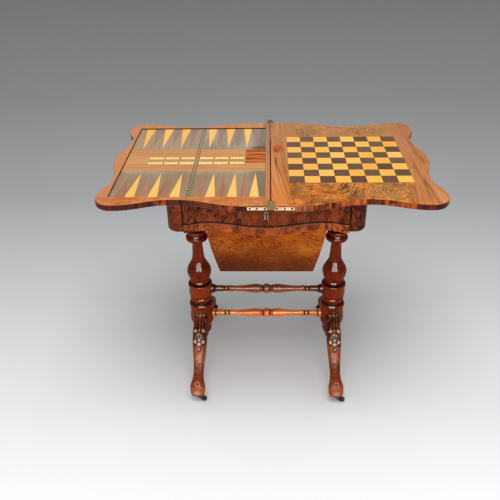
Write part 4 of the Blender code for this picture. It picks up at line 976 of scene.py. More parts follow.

# %% [markdown]
# ### Lines round the well, the hinge line and a crack
#
# A pale line is let into the border along the well's right and front edges. The dark line along
# its left and back edges is painted shadow from the well's walls, and the walls are painted dark
# too.
# Both leaves also end in a thin dark edge at the hinge line. The dyed veneer has one old crack,
# where the wood below shrank. All of these are thin, but the eye finds them at once.

# %% Lines in the leaves' tops
pale_line = straight_walnut("pale_line", (206, 152, 104), (190, 138, 94), (170, 118, 78),
                            lines=0.1)
red_edge = straight_walnut("red_edge", (120, 54, 32), (96, 38, 24), (66, 26, 18),
                           gloss=0.45, coat=0.05, lines=0.3)
well_low, well_high = FIELD_LOW - GAP, FIELD_HIGH + GAP
LINE_NEAR, LINE_FAR, SHADOW_NEAR, SHADOW_FAR = 0.0006, 0.0018, 0.0001, 0.0017
EDGE_NEAR, EDGE_FAR, END_FLAT = 0.0007, 0.0019, LEAF_END - 0.0118
TOP_LINES = (
    ("well_line", "upper_leaf", pale_line,
     strip(well_high.x + LINE_NEAR, well_low.y, well_high.x + LINE_FAR, FIELD_HIGH.y),
     strip(well_low.x, well_low.y - LINE_FAR, well_high.x + LINE_FAR, well_low.y - LINE_NEAR)),
    # Painted shadow along the well's left and back edges.
    ("well_shadow_line", "upper_leaf", dark_edge_and_shade,
     strip(well_low.x - SHADOW_FAR, well_low.y, well_low.x - SHADOW_NEAR,
           well_high.y + SHADOW_FAR),
     strip(well_low.x - SHADOW_NEAR, well_high.y + SHADOW_NEAR, well_high.x,
           well_high.y + SHADOW_FAR)),
    ("left_hinge_line", "upper_leaf", dark_edge_and_shade, strip(-EDGE_FAR, -END_FLAT, -EDGE_NEAR, END_FLAT)),
    ("right_hinge_line", "lower_leaf", red_edge, strip(EDGE_NEAR, -END_FLAT, EDGE_FAR, END_FLAT)),
)
for name, body, finish, *outlines in TOP_LINES:
    slips = joined([slab(outline, TOP - SUNK, TOP + HAIR) for outline in outlines])
    set_down(name, slips, [finish], body, "burr_walnut")
print("lines in the tops:", len(TOP_LINES))

# %% The crack
CRACK_PATH = ((-0.2935, -0.232), (-0.2915, -0.215), (-0.2890, -0.196), (-0.2868, -0.178),
              (-0.2848, -0.160), (-0.2820, -0.140))
CRACK_LEFT, CRACK_RIGHT = 0.0004, 0.0005
crack = [(x - CRACK_LEFT, y) for x, y in CRACK_PATH]
crack += [(x + CRACK_RIGHT, y) for x, y in reversed(CRACK_PATH)]
inlay("shrinkage_crack", [crack], dark_slip, lift=0.00024)
print("crack:", len(CRACK_PATH), "places")

# %% [markdown]
# ## Brass
#
# Lacquered brass is a yellow metal with a faint brown bloom in patches. Fine scratches in the
# roughness keep the highlights from looking like plastic.

# %% Brass and iron
def metal(name, bright, dull, gloss, patches=40.0, touch=untouched):
    """A metal with a bloom and fine scratches."""
    finish, where = blank_finish(name)
    scratch = cloud(drawn_out(where, (1, 0.1, 1)), 900, 2)
    colour = shades(cloud(where, patches, 4, 0.6), (0.35, dull), (0.62, bright))
    return dressed(finish, {
        "Base Color": touch(where, colour), "Metallic": 1.0,
        "Roughness": between(scratch, 0.3, 0.7, gloss - 0.06, gloss + 0.10),
        "Normal": bump(scratch, strength=0.15, distance=0.0002)})


def yellow_lugs(where, colour):
    """The round lugs in the middle of a hinge are a deeper, greener yellow than its arms."""
    near = spot(where, (0, -LEAF_END, TOP), (0.0125, 0.02, 0.02), 0.15)
    worn = shades(cloud(where, 420, 3), (0.43, (52, 34, 14)), (0.53, (140, 106, 44)),
                  (0.63, (214, 182, 108)))
    tarnish = between(cloud(where, 210, 3, 0.6), 0.54, 0.62, 0.0, 0.8)
    return blend(near * 0.9, blend(tarnish, colour, (96, 62, 34)), worn)


brass = metal("brass", (255, 236, 204), (240, 204, 156), 0.26, touch=yellow_lugs)
old_brass = metal("old_brass", (214, 204, 184), (176, 162, 138), 0.46)
# The key plate's fine pale specks are painted glints.
key_brass_glints = metal("key_brass_glints", (214, 200, 176), (40, 26, 16), 0.20, patches=420)
dark_iron = metal("dark_iron", (92, 90, 90), (44, 40, 38), 0.42)
dress(brass, "hinge_plate_lower_front", "hinge_plate_upper_front", "hinge_pin_front")
dress(old_brass, "hinge_plate_lower_back", "hinge_plate_upper_back", "hinge_pin_back", "lock_case",
      "lock_bolt")
dress(key_brass_glints, "escutcheon")
dress(dark_iron, "pivot_bolt", "pivot_nut",
      *[name for name in frame["nodes"] if name.startswith("castor_")])
print("metals:", brass.name, old_brass.name, key_brass_glints.name, dark_iron.name)

# %% [markdown]
# ## Hinge screws
#
# Three countersunk screws hold each hinge arm. A screw's head is a shallow dish with a slot, spun
# from a short profile. They lie in the arm's outer face, a few hundredths of a millimetre proud.

# %% Hinge screws
def spin(profile, sides):
    """Spin a half profile of (radius, height) points about Z, closed at the ends."""
    bm = bmesh.new()
    turns = [(math.cos(2 * math.pi * k / sides), math.sin(2 * math.pi * k / sides))
             for k in range(sides)]
    rings = [[bm.verts.new((radius * x, radius * y, height))
              for x, y in (turns if radius > TINY else turns[:1])] for radius, height in profile]
    for upper, lower in zip(rings, rings[1:]):
        for k in range(sides):
            j = (k + 1) % sides
            if len(upper) == 1:
                bm.faces.new((upper[0], lower[k], lower[j]))
            elif len(lower) == 1:
                bm.faces.new((upper[k], lower[0], upper[j]))
            else:
                bm.faces.new((upper[k], lower[k], lower[j], upper[j]))
    bmesh.ops.recalc_face_normals(bm, faces=bm.faces)
    return bm


def put(bm, place, *turns):
    """Turn a bmesh about the named axes, the last one first, and carry it to its place."""
    way = Matrix.Translation(place)
    for angle, axis in turns:
        way = way @ Matrix.Rotation(angle, 4, axis)
    bmesh.ops.transform(bm, verts=bm.verts, matrix=way)
    return bm


SCREW_RADIUS, SCREW_SIDES, SCREW_PLACES = 0.0027, 24, (0.0155, 0.0352, 0.0535)
SLOT_HALF, SLOT_LOW, SLOT_HIGH, SLOT_TURN = 0.0003, 0.00005, 0.0003, 50
SCREW_LINE = [(0, 0.0002), (SCREW_RADIUS * 0.72, 0.00022), (SCREW_RADIUS, 0.00006),
              (SCREW_RADIUS, -0.0006), (0, -0.0006)]


def screw_head(x, end):
    """A slotted head facing out of a leaf's end, its slot turned its own way."""
    slot = block((-SCREW_RADIUS, -SLOT_HALF, SLOT_LOW), (SCREW_RADIUS, SLOT_HALF, SLOT_HIGH))
    return put(joined([spin(SCREW_LINE, SCREW_SIDES), slot]),
               (x, end * LEAF_END, (ARM_TOP + ARM_LOW) / 2),
               (end * -math.pi / 2, "X"), (SLOT_TURN * x, "Z"))


dark_screw = metal("dark_screw", (84, 56, 30), (38, 24, 16), 0.45)
for leaf, sense in (("lower", 1), ("upper", -1)):
    for end_name, end in ENDS:
        set_down("screws_" + leaf + "_" + end_name,
                 joined([screw_head(sense * x, end) for x in SCREW_PLACES]),
                 [dark_screw], leaf + "_leaf", "brass")
print("screws:", 4 * len(SCREW_PLACES))

# %% [markdown]
# ## Frieze veneer
#
# The friezes, the drawer front and the slide's band are dark burr, laid as separate sheets with
# upright joints. Between the red-brown sheets are greyer ones. The band's mottle and the sheets'
# tones come from the same two tools as the rims, only larger and softer. Dirt has darkened the
# joints at the posts. The joint under the drawer is darker still, with dirt and a painted shadow
# in its gap, and the band's upper edge carries a painted highlight.

# %% Frieze veneer
def frieze_veneer(name, pale, middle, dark, grey, touch, per_metre=13):
    """Dark burr in separate sheets, some of them greyer."""
    finish, where = blank_finish(name)
    sheet = piece_shades(where, per_metre)
    turned = drawn_out(stirred(where, 34, 0.030), (1, 1, 0.6))
    broad = cloud(turned, 24, 2)
    figure = cloud(turned, 66, 6, 0.68, 0.6) * 0.68 + broad * 0.32
    colour = shades(figure, (0.41, dark), (0.49, middle), (0.57, pale))
    upright = cloud(drawn_out(where, (1, 1, 0.10)), 120, 4, 0.6)
    greyed = blend(between(upright, 0.42, 0.58), deeper(grey, 0.35), grey)
    colour = blend(between(sheet, 0.60, 0.68, 0.0, 0.6), colour, greyed)
    colour = blend(between(sheet, 0.30, 0.10, 0.0, 0.3), colour, pale)
    colour = blend(ring_lines(broad, 12, 0.70, 0.98) * 0.5, colour, deeper(dark, 0.6))
    colour = blend(seams(where, per_metre, 0.02) * 0.6, colour, deeper(dark))
    return polish(finish, touch(where, colour), figure, gloss=0.28, coat=0.06, sheen=0.05)


DRAWER_FOOT, BAND_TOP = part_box("drawer_front")[0].z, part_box("slide_front")[1].z
POST_JOINT = 0.2306
DIRT_AND_SHADE = (26, 8, 4)


def post_joints(where, colour):
    """Dirt in the two upright joints at the posts."""
    aside = abs(abs(parts(where)[0] - BASE_X) - POST_JOINT)
    return blend(between(aside, 0.0028, 0.0014, 0.0, 0.95), colour, DIRT_AND_SHADE)


def joints_and_gap_shadow(where, colour):
    """The same dirt, and under the drawer a darker line of dirt and painted shadow in the gap."""
    # Painted shadow, with dirt, in the gap under the drawer.
    dirt_and_gap_shadow = between(parts(where)[2], DRAWER_FOOT + 0.0052, DRAWER_FOOT + 0.0024, 0.0, 0.95)
    return post_joints(where, blend(dirt_and_gap_shadow, colour, DIRT_AND_SHADE))


def painted_edge_highlight(where, colour):
    """A painted highlight along the band's upper edge, in patches of pinkish grey."""
    # Painted highlight where the band's rounded upper edge catches the light.
    edge = between(parts(where)[2], BAND_TOP - 0.0062, BAND_TOP - 0.0036)
    patchy = between(cloud(where, 60, 3), 0.36, 0.58, 0.10, 0.70)
    return blend(edge * patchy, colour, (146, 96, 80))


dark_burr = frieze_veneer("dark_burr", (148, 66, 30), (98, 40, 16), (36, 12, 5), (98, 66, 44),
                          joints_and_gap_shadow)
post_curl = frieze_veneer("post_curl", (146, 66, 26), (92, 35, 12), (50, 16, 6), (94, 52, 26),
                          post_joints, per_metre=4)
band_burr = frieze_veneer("band_burr", (196, 98, 42), (130, 54, 20), (56, 20, 8),
                          (122, 84, 66), painted_edge_highlight, per_metre=9)
print("frieze veneers:", dark_burr.name, post_curl.name, band_burr.name)

# %% [markdown]
# ## Carcase
#
# The front and back follow one serpentine line: a crown in the middle, a dip at each side, and
# back out to the posts. The line is drawn with many points and thickened between two levels, the
# same way for the back frieze, the rail over the drawer, the drawer front and the slide's band.

# %% Serpentine fronts
HALF_DEPTH, FRONT_INSIDE = 0.198, 0.168
POST_INNER_X, POST_INNER_Y = 0.231, 0.158
CROWN_DEPTH, DIP_DEPTH, DIP_PLACE_SHARE = 0.0132, 0.0135, 0.735
CROWN_STEPS, SHOULDER_STEPS, DRAWER_GAP = 32, 14, 0.001


def serpentine(half_width):
    """The front's line in plan, about the carcase's middle, from left to right."""
    crown = (0, -HALF_DEPTH - CROWN_DEPTH)
    dip = (DIP_PLACE_SHARE * half_width, -HALF_DEPTH + DIP_DEPTH)
    shoulder = (half_width, -HALF_DEPTH)
    half = [crown, *wave(crown, dip, (1, 0), CROWN_STEPS),
            *wave(dip, shoulder, (1, 0), SHOULDER_STEPS)]
    return [(-x, y) for x, y in reversed(half[1:])] + half


def serpentine_front(solid, gap, back_y, end=-1, ease=0.0006):
    """A front as high as its solid, with the serpentine line outside and a flat inside."""
    def outer_rim(a, b):
        return abs(a.z - b.z) < TINY and max(abs(a.y - inside), abs(b.y - inside)) > TINY

    low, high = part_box(solid)
    half_width, inside = POST_INNER_X - gap, end * back_y
    outline = [(BASE_X + x, -end * y) for x, y in serpentine(half_width)]
    outline += [(BASE_X + half_width, inside), (BASE_X - half_width, inside)]
    return soften(slab(outline, low.z, high.z), outer_rim, ease, 2)


set_down("back_frieze", serpentine_front("frieze_back", FIT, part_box("frieze_back")[0].y, 1),
         [dark_burr], "base", "burr_walnut", "frieze_back")
MORTISE_HALF_WIDTH, MORTISE_HALF_DEPTH, MORTISE_HEIGHT = 0.009, 0.003, 0.006
BOLT_PLACE = Vector((BASE_X, -0.174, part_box("top_rail_front")[0].z))
mortise = block(BOLT_PLACE - Vector((MORTISE_HALF_WIDTH, MORTISE_HALF_DEPTH, OVERRUN)),
                BOLT_PLACE + Vector((MORTISE_HALF_WIDTH, MORTISE_HALF_DEPTH, MORTISE_HEIGHT)))
set_down("front_rail", cut_away(serpentine_front("top_rail_front", FIT, POST_INNER_Y), [mortise]),
         [dark_burr], "base", "burr_walnut", "top_rail_front")
print("serpentine line:", len(serpentine(POST_INNER_X)), "points")

# %% [markdown]
# ### Corner posts
#
# Each post is rounded on its outer corner and again at its foot. It is the most handled place on
# the table, so the rounds are large and smooth.

# %% Corner posts
POST_WIDTH, POST_DEPTH, POST_ROUND, POST_FOOT = 0.046, 0.040, 0.030, 0.012


def corner_post(sense, end, low, high):
    """A post with a rounded outer corner and a softened foot."""
    def on_foot(a, b):
        middle = (a + b) / 2
        level = max(abs(a.z - low), abs(b.z - low)) < TINY
        return level and min(abs(middle.x - inside[0]), abs(middle.y - inside[1])) > TINY

    inside = (BASE_X + sense * POST_INNER_X, end * POST_INNER_Y)
    side, front = (POST_WIDTH, POST_DEPTH - POST_ROUND), (POST_WIDTH - POST_ROUND, POST_DEPTH)
    outline = [(0, 0), (POST_WIDTH, 0), side, *corner(side, front, (0, 1), (-1, 0)),
               (0, POST_DEPTH)]
    outline = [(inside[0] + sense * u, inside[1] + end * v) for u, v in outline]
    return soften(slab(outline, low, high), on_foot, POST_FOOT, 6)


for corner_name, sense, end in CORNERS:
    solid = "corner_post_" + corner_name
    low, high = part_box(solid)
    set_down("post_" + corner_name, corner_post(sense, end, low.z, high.z), [post_curl], "base",
             "burr_walnut", solid)
dress(dark_burr, "frieze_left", "frieze_right")
print("posts:", len(CORNERS))

# %% [markdown]
# ### Drawer front and slide band
#
# The drawer front has a mortise for the lock, a keyhole and a groove for the drawer's bottom, all
# cut again from the same measures. The band under it is the front of the work-box slide.

# %% Drawer front and slide band
case_low, case_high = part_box("lock_case")
bottom_low, bottom_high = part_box("drawer_bottom")
KEYHOLE_LEVEL, KEYHOLE_RADIUS, KEYHOLE_HALF, KEYHOLE_DROP = 0.0202, 0.0034, 0.0020, 0.0165
KEY_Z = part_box("drawer_front")[1].z - KEYHOLE_LEVEL
KEY_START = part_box("escutcheon")[0].y - 0.01
GROOVE_HALF, GROOVE_FRONT, GROOVE_BACK = 0.2205, -0.171, -0.166
drawer_face = cut_away(serpentine_front("drawer_front", DRAWER_GAP, FRONT_INSIDE), [
    block(case_low - GAP, (case_high.x + FIT, case_high.y + OVERRUN, case_high.z + OVERRUN)),
    rod(KEYHOLE_RADIUS, (BASE_X, KEY_START, KEY_Z), (BASE_X, case_low.y, KEY_Z), sides=24),
    block((BASE_X - KEYHOLE_HALF, KEY_START, KEY_Z - KEYHOLE_DROP),
          (BASE_X + KEYHOLE_HALF, case_low.y, KEY_Z)),
    block((BASE_X - GROOVE_HALF, GROOVE_FRONT, bottom_low.z - FIT),
          (BASE_X + GROOVE_HALF, GROOVE_BACK, bottom_high.z + FIT))])
set_down("drawer_face", drawer_face, [dark_burr], "drawer", "burr_walnut", "drawer_front")
set_down("slide_band", serpentine_front("slide_front", DRAWER_GAP, FRONT_INSIDE, ease=0.0012),
         [band_burr], "work_box", "burr_walnut", "slide_front")
print("drawer face:", len(drawer_face.polygons), "faces")

# %% [markdown]
# ## Plain inside woods
#
# Runners, rails, bearers and the drawer's lining are plain timber without polish, a little paler
# than the show wood. The bearers show from the side, so they are stained to match.

# %% Plain inside woods
lining_x, lining_y = [
    straight_walnut("lining_" + along.lower(), (196, 152, 104), (176, 128, 84), (140, 96, 60),
                    along=along, gloss=0.62, coat=0.0, lines=0.35) for along in "XY"]
stained_y = straight_walnut("stained_y", (124, 62, 32), (96, 44, 22), (58, 26, 14),
                            gloss=0.4, coat=0.1, lines=0.4)
dress(lining_x, "pivot_rail", "drawer_back", "drawer_bottom", "slide_frame")
dress(lining_y, "drawer_side_left", "drawer_side_right", "runner_left", "runner_right")
dress(stained_y, "bearer_left", "bearer_right")
print("plain woods:", lining_x.name, lining_y.name, stained_y.name)


# %% [markdown]
# ## The work box
#
# The hanging box narrows on a curve towards its bottom. Its front is one sheet of golden walnut
# with a wavy figure, darker towards the bottom, with a painted shadow at the lower left. The
# shadow is a soft spot in the finish, placed in metres.

# %% The work box's veneer
def box_walnut():
    """Golden walnut with wavy lines, darker towards the bottom, with a painted shadow at the lower
    left.
    """
    finish, where = blank_finish("box_walnut")
    flow = drawn_out(stirred(where, 9, 0.05), (0.34, 0.34, 1.0), (0, 0.20, 0))
    figure = cloud(flow, 210, 5, 0.62, 0.4) * 0.5 + cloud(flow, 20, 3) * 0.5
    colour = shades(figure, (0.37, (142, 58, 8)), (0.50, (190, 94, 20)), (0.63, (216, 120, 40)))
    level = parts(where)[2]
    waves = cloud(where, 36, 2) * 0.040 + (cloud(where, 8, 1) * 0.14 + level)
    patch = between(cloud(where, 26, 3), 0.36, 0.58, 0.15, 0.85)
    colour = blend(ring_lines(waves, 150, 0.15, 0.95) * patch, colour, (88, 30, 4))
    deep = between(cloud(where, 16, 3) * 0.06 + level, 0.590, 0.475, 0.0, 0.84)
    colour = blend(deep, colour, (78, 27, 5))
    # Painted shadow at the front's lower left.
    shadow = spot(where, (BASE_X - 0.13, -0.16, 0.475), (0.10, 1, 0.05), 0.7)
    colour = blend(shadow * 0.40, colour, (62, 20, 8))
    return polish(finish, colour, figure, gloss=0.34, coat=0.04, sheen=0.04)


golden = box_walnut()
print("box veneer:", golden.name)

# %% The work box's panels
BOX_LOW_Z, BOX_TOP_Z = [level.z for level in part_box("box_front")]
BOX_FRONT_Y, BOX_INNER_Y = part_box("box_front")[0].y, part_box("box_back")[0].y
BOX_TOP_HALF, BOX_TAPER, BOX_WALL, BOX_CURVE_POWER = 0.1727, 0.0349, 0.008, 1.5
BOX_ROUND, BOX_ROUND_STEPS = 0.0008, 2
BOX_HEIGHT = BOX_TOP_Z - BOX_LOW_Z


def box_flank(start_z, inset=0.0, steps=24):
    """Points up one flank of the box, from a height to its top."""
    start = (start_z - BOX_LOW_Z) / BOX_HEIGHT
    line = []
    for step in range(steps + 1):
        share = start + (1 - start) * step / steps
        half = BOX_TOP_HALF - BOX_TAPER * (1 - share) ** BOX_CURVE_POWER
        line.append((half - inset, BOX_LOW_Z + share * BOX_HEIGHT))
    return line


flank = box_flank(BOX_LOW_Z)
panel = [(BASE_X + x, z) for x, z in flank] + [(BASE_X - x, z) for x, z in reversed(flank)]
for end_name, end in ENDS:
    outer = end * -BOX_FRONT_Y
    sheet = soften(slab(panel, *sorted((end * BOX_INNER_Y, outer)), upright=True),
                   lambda a, b: max(abs(a.y - outer), abs(b.y - outer)) < TINY,
                   BOX_ROUND, BOX_ROUND_STEPS)
    set_down("work_box_" + end_name, sheet, [golden], "work_box", "box_veneer", "box_" + end_name)
side_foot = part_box("box_bottom")[1].z + FIT
section = box_flank(side_foot) + box_flank(side_foot, BOX_WALL)[::-1]
for side_name, sense in SIDES:
    wall = slab([(BASE_X + sense * x, z) for x, z in section], FIT - BOX_INNER_Y,
                BOX_INNER_Y - FIT, upright=True)
    set_down("work_box_" + side_name, wall, [golden], "work_box", "box_veneer",
             "box_" + side_name)
dress(golden, "box_bottom")
print("work box:", round(BOX_HEIGHT, 3), "m deep")


# %% [markdown]
# ## Turned and carved walnut
#
# The columns, stretchers and legs are solid walnut under a thick, glossy red-brown polish. The
# grooves are darkened, partly as polish and dirt that gather there and partly as painted shade.
# Each mesh carries how deep a point lies as a number at every point, worked out from its own shape,
# and the finish reads it. The legs carry a second number for the proud places of the carving, which
# are painted pale, partly as wear from hands and dusters and partly as a painted highlight. Towards
# the sides of a round the colour is darkened, as painted shade.

# %% Turned and carved walnut
def red_polish(name, pale, middle, dark, groove, along="Z", gloss=0.24, coat=0.10,
               carved=False, touch=untouched):
    """A glossy finish that darkens where the mesh's own groove number is high: dirt and painted
    shade.
    """
    finish, where = blank_finish(name)
    tree = finish.node_tree
    flow = drawn_out(stirred(where, 12, 0.02), LONG_GRAIN[along])
    broad = cloud(where, 14, 2)
    figure = cloud(flow, 95, 5, 0.6) * 0.6 + broad * 0.4
    colour = touch(where, shades(figure, (0.38, dark), (0.50, middle), (0.62, pale)))
    depth = node("Attribute", {}, "Fac", tree, attribute_name="groove")
    # The groove number darkens the colour: polish and dirt in the grooves, and painted shade in
    # them.
    colour = blend(between(depth, 0.20, 0.80, 0.0, 0.95), colour, groove)
    if carved:
        # Proud places of the carving are painted pale: partly wear, partly a painted highlight.
        proud = node("Attribute", {}, "Fac", tree, attribute_name="proud")
        colour = blend(proud * between(broad, 0.36, 0.60, 0.55, 1.0), colour, (232, 188, 158))
    # Painted shade: the colour darkens towards the sides of a round.
    facing = node("LayerWeight", {"Blend": 0.5}, "Facing", tree)
    colour = blend(between(facing, 0.45, 0.95, 0.0, 0.6), colour, deeper(dark))
    polish(finish, colour, figure, gloss, coat, relief=0.0003, coat_gloss=0.06, sheen=0.04)
    return knife_marks(finish, where, figure) if carved else finish


def knife_marks(finish, where, figure):
    """The uneven surface and patchy gloss that a carver's tools leave."""
    fine = bump(figure, strength=0.35, distance=0.0003)
    marks = bump(cloud(where, 60, 3, 0.6), strength=0.6, distance=0.0040, under=fine)
    worn = between(cloud(where, 46, 2, 0.5), 0.50, 0.60, 0.60, 0.18)
    return dressed(finish, {"Normal": marks, "Coat Normal": marks, "Roughness": worn})


def keep_number(mesh, values, name="groove"):
    """Store a number from 0 to 1 at each point, such as how deep in a groove it lies."""
    layer = mesh.attributes.new(name, "FLOAT", "POINT")
    layer.data.foreach_set("value", [min(1.0, max(0.0, value)) for value in values])


def lighter_drum(where, colour):
    """The drum and the rings under the bulb, where the polish is a clearer orange-brown."""
    x, _, z = parts(where)
    near = between(abs(z - 0.274), 0.042, 0.026, 0.0, 0.55)
    return blend(near * between(x, 0.05, -0.05, 0.2, 1.0), colour, (160, 62, 4))


turned_walnut = red_polish("turned_walnut", (142, 50, 0), (122, 36, 0), (104, 26, 0),
                           (30, 8, 0), touch=lighter_drum)
print("turned finish:", turned_walnut.name)


# %% [markdown]
# ## The columns
#
# A turner cuts a column from a drawing of its profile. The solid's profile has 58 places, joined
# by straight lines. Here a curve runs smoothly through the same places, and keeps a corner where
# the drawing turns sharply, so that beads stay round and fillets stay crisp. The number for the
# grooves is how far the profile lies inside its own smoothed line.

# %% A smooth turner's line
TURNED_CREASE = 42


def smooth_line(drawn, steps=6, sharp=48):
    """A curve through (radius, height) places that keeps the sharp corners."""
    drawn = [Vector(point) for point in drawn]
    leave, arrive = [], []
    for i, here in enumerate(drawn):
        before = here - drawn[i - 1] if i else drawn[1] - here
        after = drawn[i + 1] - here if i + 1 < len(drawn) else before
        if 0 < i < len(drawn) - 1 and before.angle(after, 0) <= math.radians(sharp):
            before = after = before.normalized() * after.length + after.normalized() * before.length
        arrive.append(before.normalized())
        leave.append(after.normalized())
    line = [drawn[0]]
    for i, (start, end) in enumerate(zip(drawn, drawn[1:])):
        reach = (end - start).length / 3
        curve = interpolate_bezier(start, start + leave[i] * reach, end - arrive[i + 1] * reach,
                                   end, steps + 1)
        line += [point.xy for point in curve[1:]]
    return [(max(0.0, radius), height) for radius, height in line]


def turned_piece(name, line, sides, span, depth, finish, solid, place, *turns):
    """Spin a line, mark how far it lies inside itself smoothed over a span, and set it down."""
    mesh = mesh_of(put(spin(line, sides), place, *turns), TURNED_CREASE)
    numbers = []
    for radius, height in line:
        outermost = max(r for r, z in line if abs(z - height) < span)
        numbers += [(outermost - radius) / depth] * (sides if radius > TINY else 1)
    keep_number(mesh, numbers)
    set_down(name, mesh, [finish], "base", "turned_walnut", solid)


# %% Columns
COLUMN_SHARES = (
    (1.0, 0.737), (0.984, 0.737), (0.975, 0.60), (0.955, 0.47), (0.90, 0.44), (0.862, 0.48),
    (0.848, 0.60), (0.838, 0.73), (0.828, 0.745), (0.818, 0.70), (0.808, 0.78), (0.798, 0.86),
    (0.787, 0.868), (0.777, 0.80), (0.771, 0.62), (0.766, 0.50), (0.757, 0.50), (0.752, 0.45),
    (0.706, 0.4325), (0.668, 0.455), (0.630, 0.528), (0.607, 0.655), (0.592, 0.752),
    (0.570, 0.895), (0.541, 0.98), (0.517, 0.925), (0.486, 0.80), (0.478, 0.76), (0.469, 0.82),
    (0.460, 0.75), (0.453, 0.86), (0.446, 0.965), (0.438, 0.985), (0.430, 0.965),
    (0.424, 0.945), (0.372, 0.948), (0.362, 0.93), (0.354, 0.87), (0.346, 0.81), (0.337, 0.87),
    (0.330, 0.885), (0.323, 0.86), (0.316, 0.80), (0.305, 0.80), (0.298, 0.90), (0.290, 0.97),
    (0.2805, 1.0), (0.270, 0.95), (0.265, 0.94), (0.1375, 0.90), (0.126, 0.83), (0.108, 0.742),
    (0.0682, 0.708), (0.049, 0.60), (0.030, 0.44), (0.020, 0.40), (0.010, 0.42), (0.0, 0.22),
)
COLUMN_RADIUS, PENDANT_Z, COLUMN_HEIGHT, COLUMN_X = 0.0407, 0.070, 0.5091, 0.222
TENON_RADIUS, TENON_LENGTH = 0.0138, 0.010
COLUMN_SIDES, COLUMN_SPAN, COLUMN_GROOVE = 96, 0.0042, 0.0048
profile = [(radius * COLUMN_RADIUS, PENDANT_Z + share * COLUMN_HEIGHT)
           for share, radius in COLUMN_SHARES]
COLUMN_TOP = profile[0][1]
line = [(0.0, COLUMN_TOP + TENON_LENGTH), (TENON_RADIUS, COLUMN_TOP + TENON_LENGTH),
        (TENON_RADIUS, COLUMN_TOP), *smooth_line(profile), (0.0, PENDANT_Z)]
for side_name, sense in SIDES:
    turned_piece("turned_column_" + side_name, line, COLUMN_SIDES, COLUMN_SPAN, COLUMN_GROOVE,
                 turned_walnut, "column_" + side_name, (BASE_X + sense * COLUMN_X, 0, 0))
print("column line:", len(line), "places")

# %% [markdown]
# ## The stretchers
#
# Two stretchers tie the columns, one over the other. Both have a bead in the middle between dark
# grooves, a vase to each side, a dark ring and a flare at the column. They come off the same lathe
# with a second drawing. The lower one faded to orange, and the upper stayed brown.

# %% Stretchers
STRETCHER_SHARES = (
    (0.0, 1.0), (0.030, 0.97), (0.054, 0.80), (0.062, 0.62), (0.075, 0.62), (0.082, 0.84),
    (0.095, 0.84), (0.103, 0.68), (0.112, 0.84), (0.185, 0.94), (0.28, 0.83), (0.42, 0.64),
    (0.55, 0.57), (0.665, 0.57), (0.674, 0.50), (0.683, 0.60), (0.705, 0.62), (0.727, 0.60),
    (0.736, 0.50), (0.745, 0.57), (0.84, 0.64), (0.90, 0.76), (0.93, 0.95), (0.96, 1.0),
    (1.0, 1.0),
)
STRETCHER_SIDES, STRETCHER_SPAN, STRETCHER_GROOVE = 64, 0.0036, 0.0030
INSIDE_BLOCK, RING_SHARES = 0.006, (0.676, 0.740)
low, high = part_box("stretcher_upper")
STRETCHER_REACH = (high.x - low.x) / 2 - INSIDE_BLOCK


def ringed(end_shade, end_tone):
    """Two rings to each side darkened with dirt and painted shade, and ends that darken by a share.
    """
    def touch(where, colour):
        aside = abs(parts(where)[0] - BASE_X)
        for share in RING_SHARES:
            # The rings' darkening is dirt and painted shade.
            ring = between(abs(aside - share * STRETCHER_REACH), 0.0036, 0.0016, 0.0, 0.9)
            colour = blend(ring, colour, DIRT_AND_SHADE)
        ends = between(aside, 0.62 * STRETCHER_REACH, 0.97 * STRETCHER_REACH, 0, end_shade)
        return blend(ends, colour, end_tone)
    return touch


upper_brown = red_polish("upper_brown", (190, 104, 46), (160, 78, 28), (112, 52, 16),
                         (24, 8, 4), "X", 0.32, 0.12, touch=ringed(0.85, (40, 20, 12)))
lower_orange = red_polish("lower_orange", (255, 164, 74), (250, 130, 42), (206, 92, 22),
                          (40, 12, 4), "X", 0.32, 0.12, touch=ringed(0.30, (160, 62, 16)))
for name, finish in (("upper", upper_brown), ("lower", lower_orange)):
    low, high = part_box("stretcher_" + name)
    level, radius = (low.z + high.z) / 2, (high.z - low.z) / 2
    reach = (high.x - low.x) / 2 - INSIDE_BLOCK
    half = smooth_line([(share * radius, place * reach) for place, share in STRETCHER_SHARES], 5)
    line = [(0.0, reach), *half[::-1], *[(r, -z) for r, z in half[1:]], (0.0, -reach)]
    turned_piece("turned_stretcher_" + name, line, STRETCHER_SIDES, STRETCHER_SPAN,
                 STRETCHER_GROOVE, finish, "stretcher_" + name, (BASE_X, 0, level),
                 (math.pi / 2, "Y"))
print("stretcher line:", len(line), "places")


# %% [markdown]
# ## The carved legs
#
# A cabriole leg swings out at the knee and in at the ankle. It is lofted: a rounded-square section
# is carried from ring to ring down the leg, and the same sixteen sections as the solid's give its
# line. The carving on the knee is pushed out of the fine mesh, as a carver leaves it standing by
# cutting the ground away. Down the face come three beads, fluted leaves, three curls, a crescent,
# a daisy and a drop. The foot has scrolls at its sides and a small ring in front.

# %% The leg's sections
LEG_SECTION_SHARES = (
    ((0.000, 1.000), (0.000, 0.650), 0.96), ((0.066, 0.978), (0.075, 0.617), 1.00),
    ((0.140, 0.928), (0.158, 0.562), 1.00), ((0.242, 0.878), (0.256, 0.501), 0.98),
    ((0.344, 0.817), (0.344, 0.445), 0.98), ((0.441, 0.700), (0.415, 0.390), 0.92),
    ((0.530, 0.567), (0.481, 0.340), 0.84), ((0.610, 0.456), (0.552, 0.284), 0.75),
    ((0.681, 0.373), (0.632, 0.218), 0.69), ((0.752, 0.312), (0.716, 0.157), 0.69),
    ((0.818, 0.279), (0.783, 0.112), 0.77), ((0.889, 0.262), (0.827, 0.062), 0.90),
    ((0.956, 0.218), (0.845, 0.026), 0.96), ((0.993, 0.145), (0.847, 0.015), 0.98),
    ((1.000, 0.073), (0.851, 0.007), 0.94), ((0.982, 0.000), (0.867, 0.000), 0.83),
)
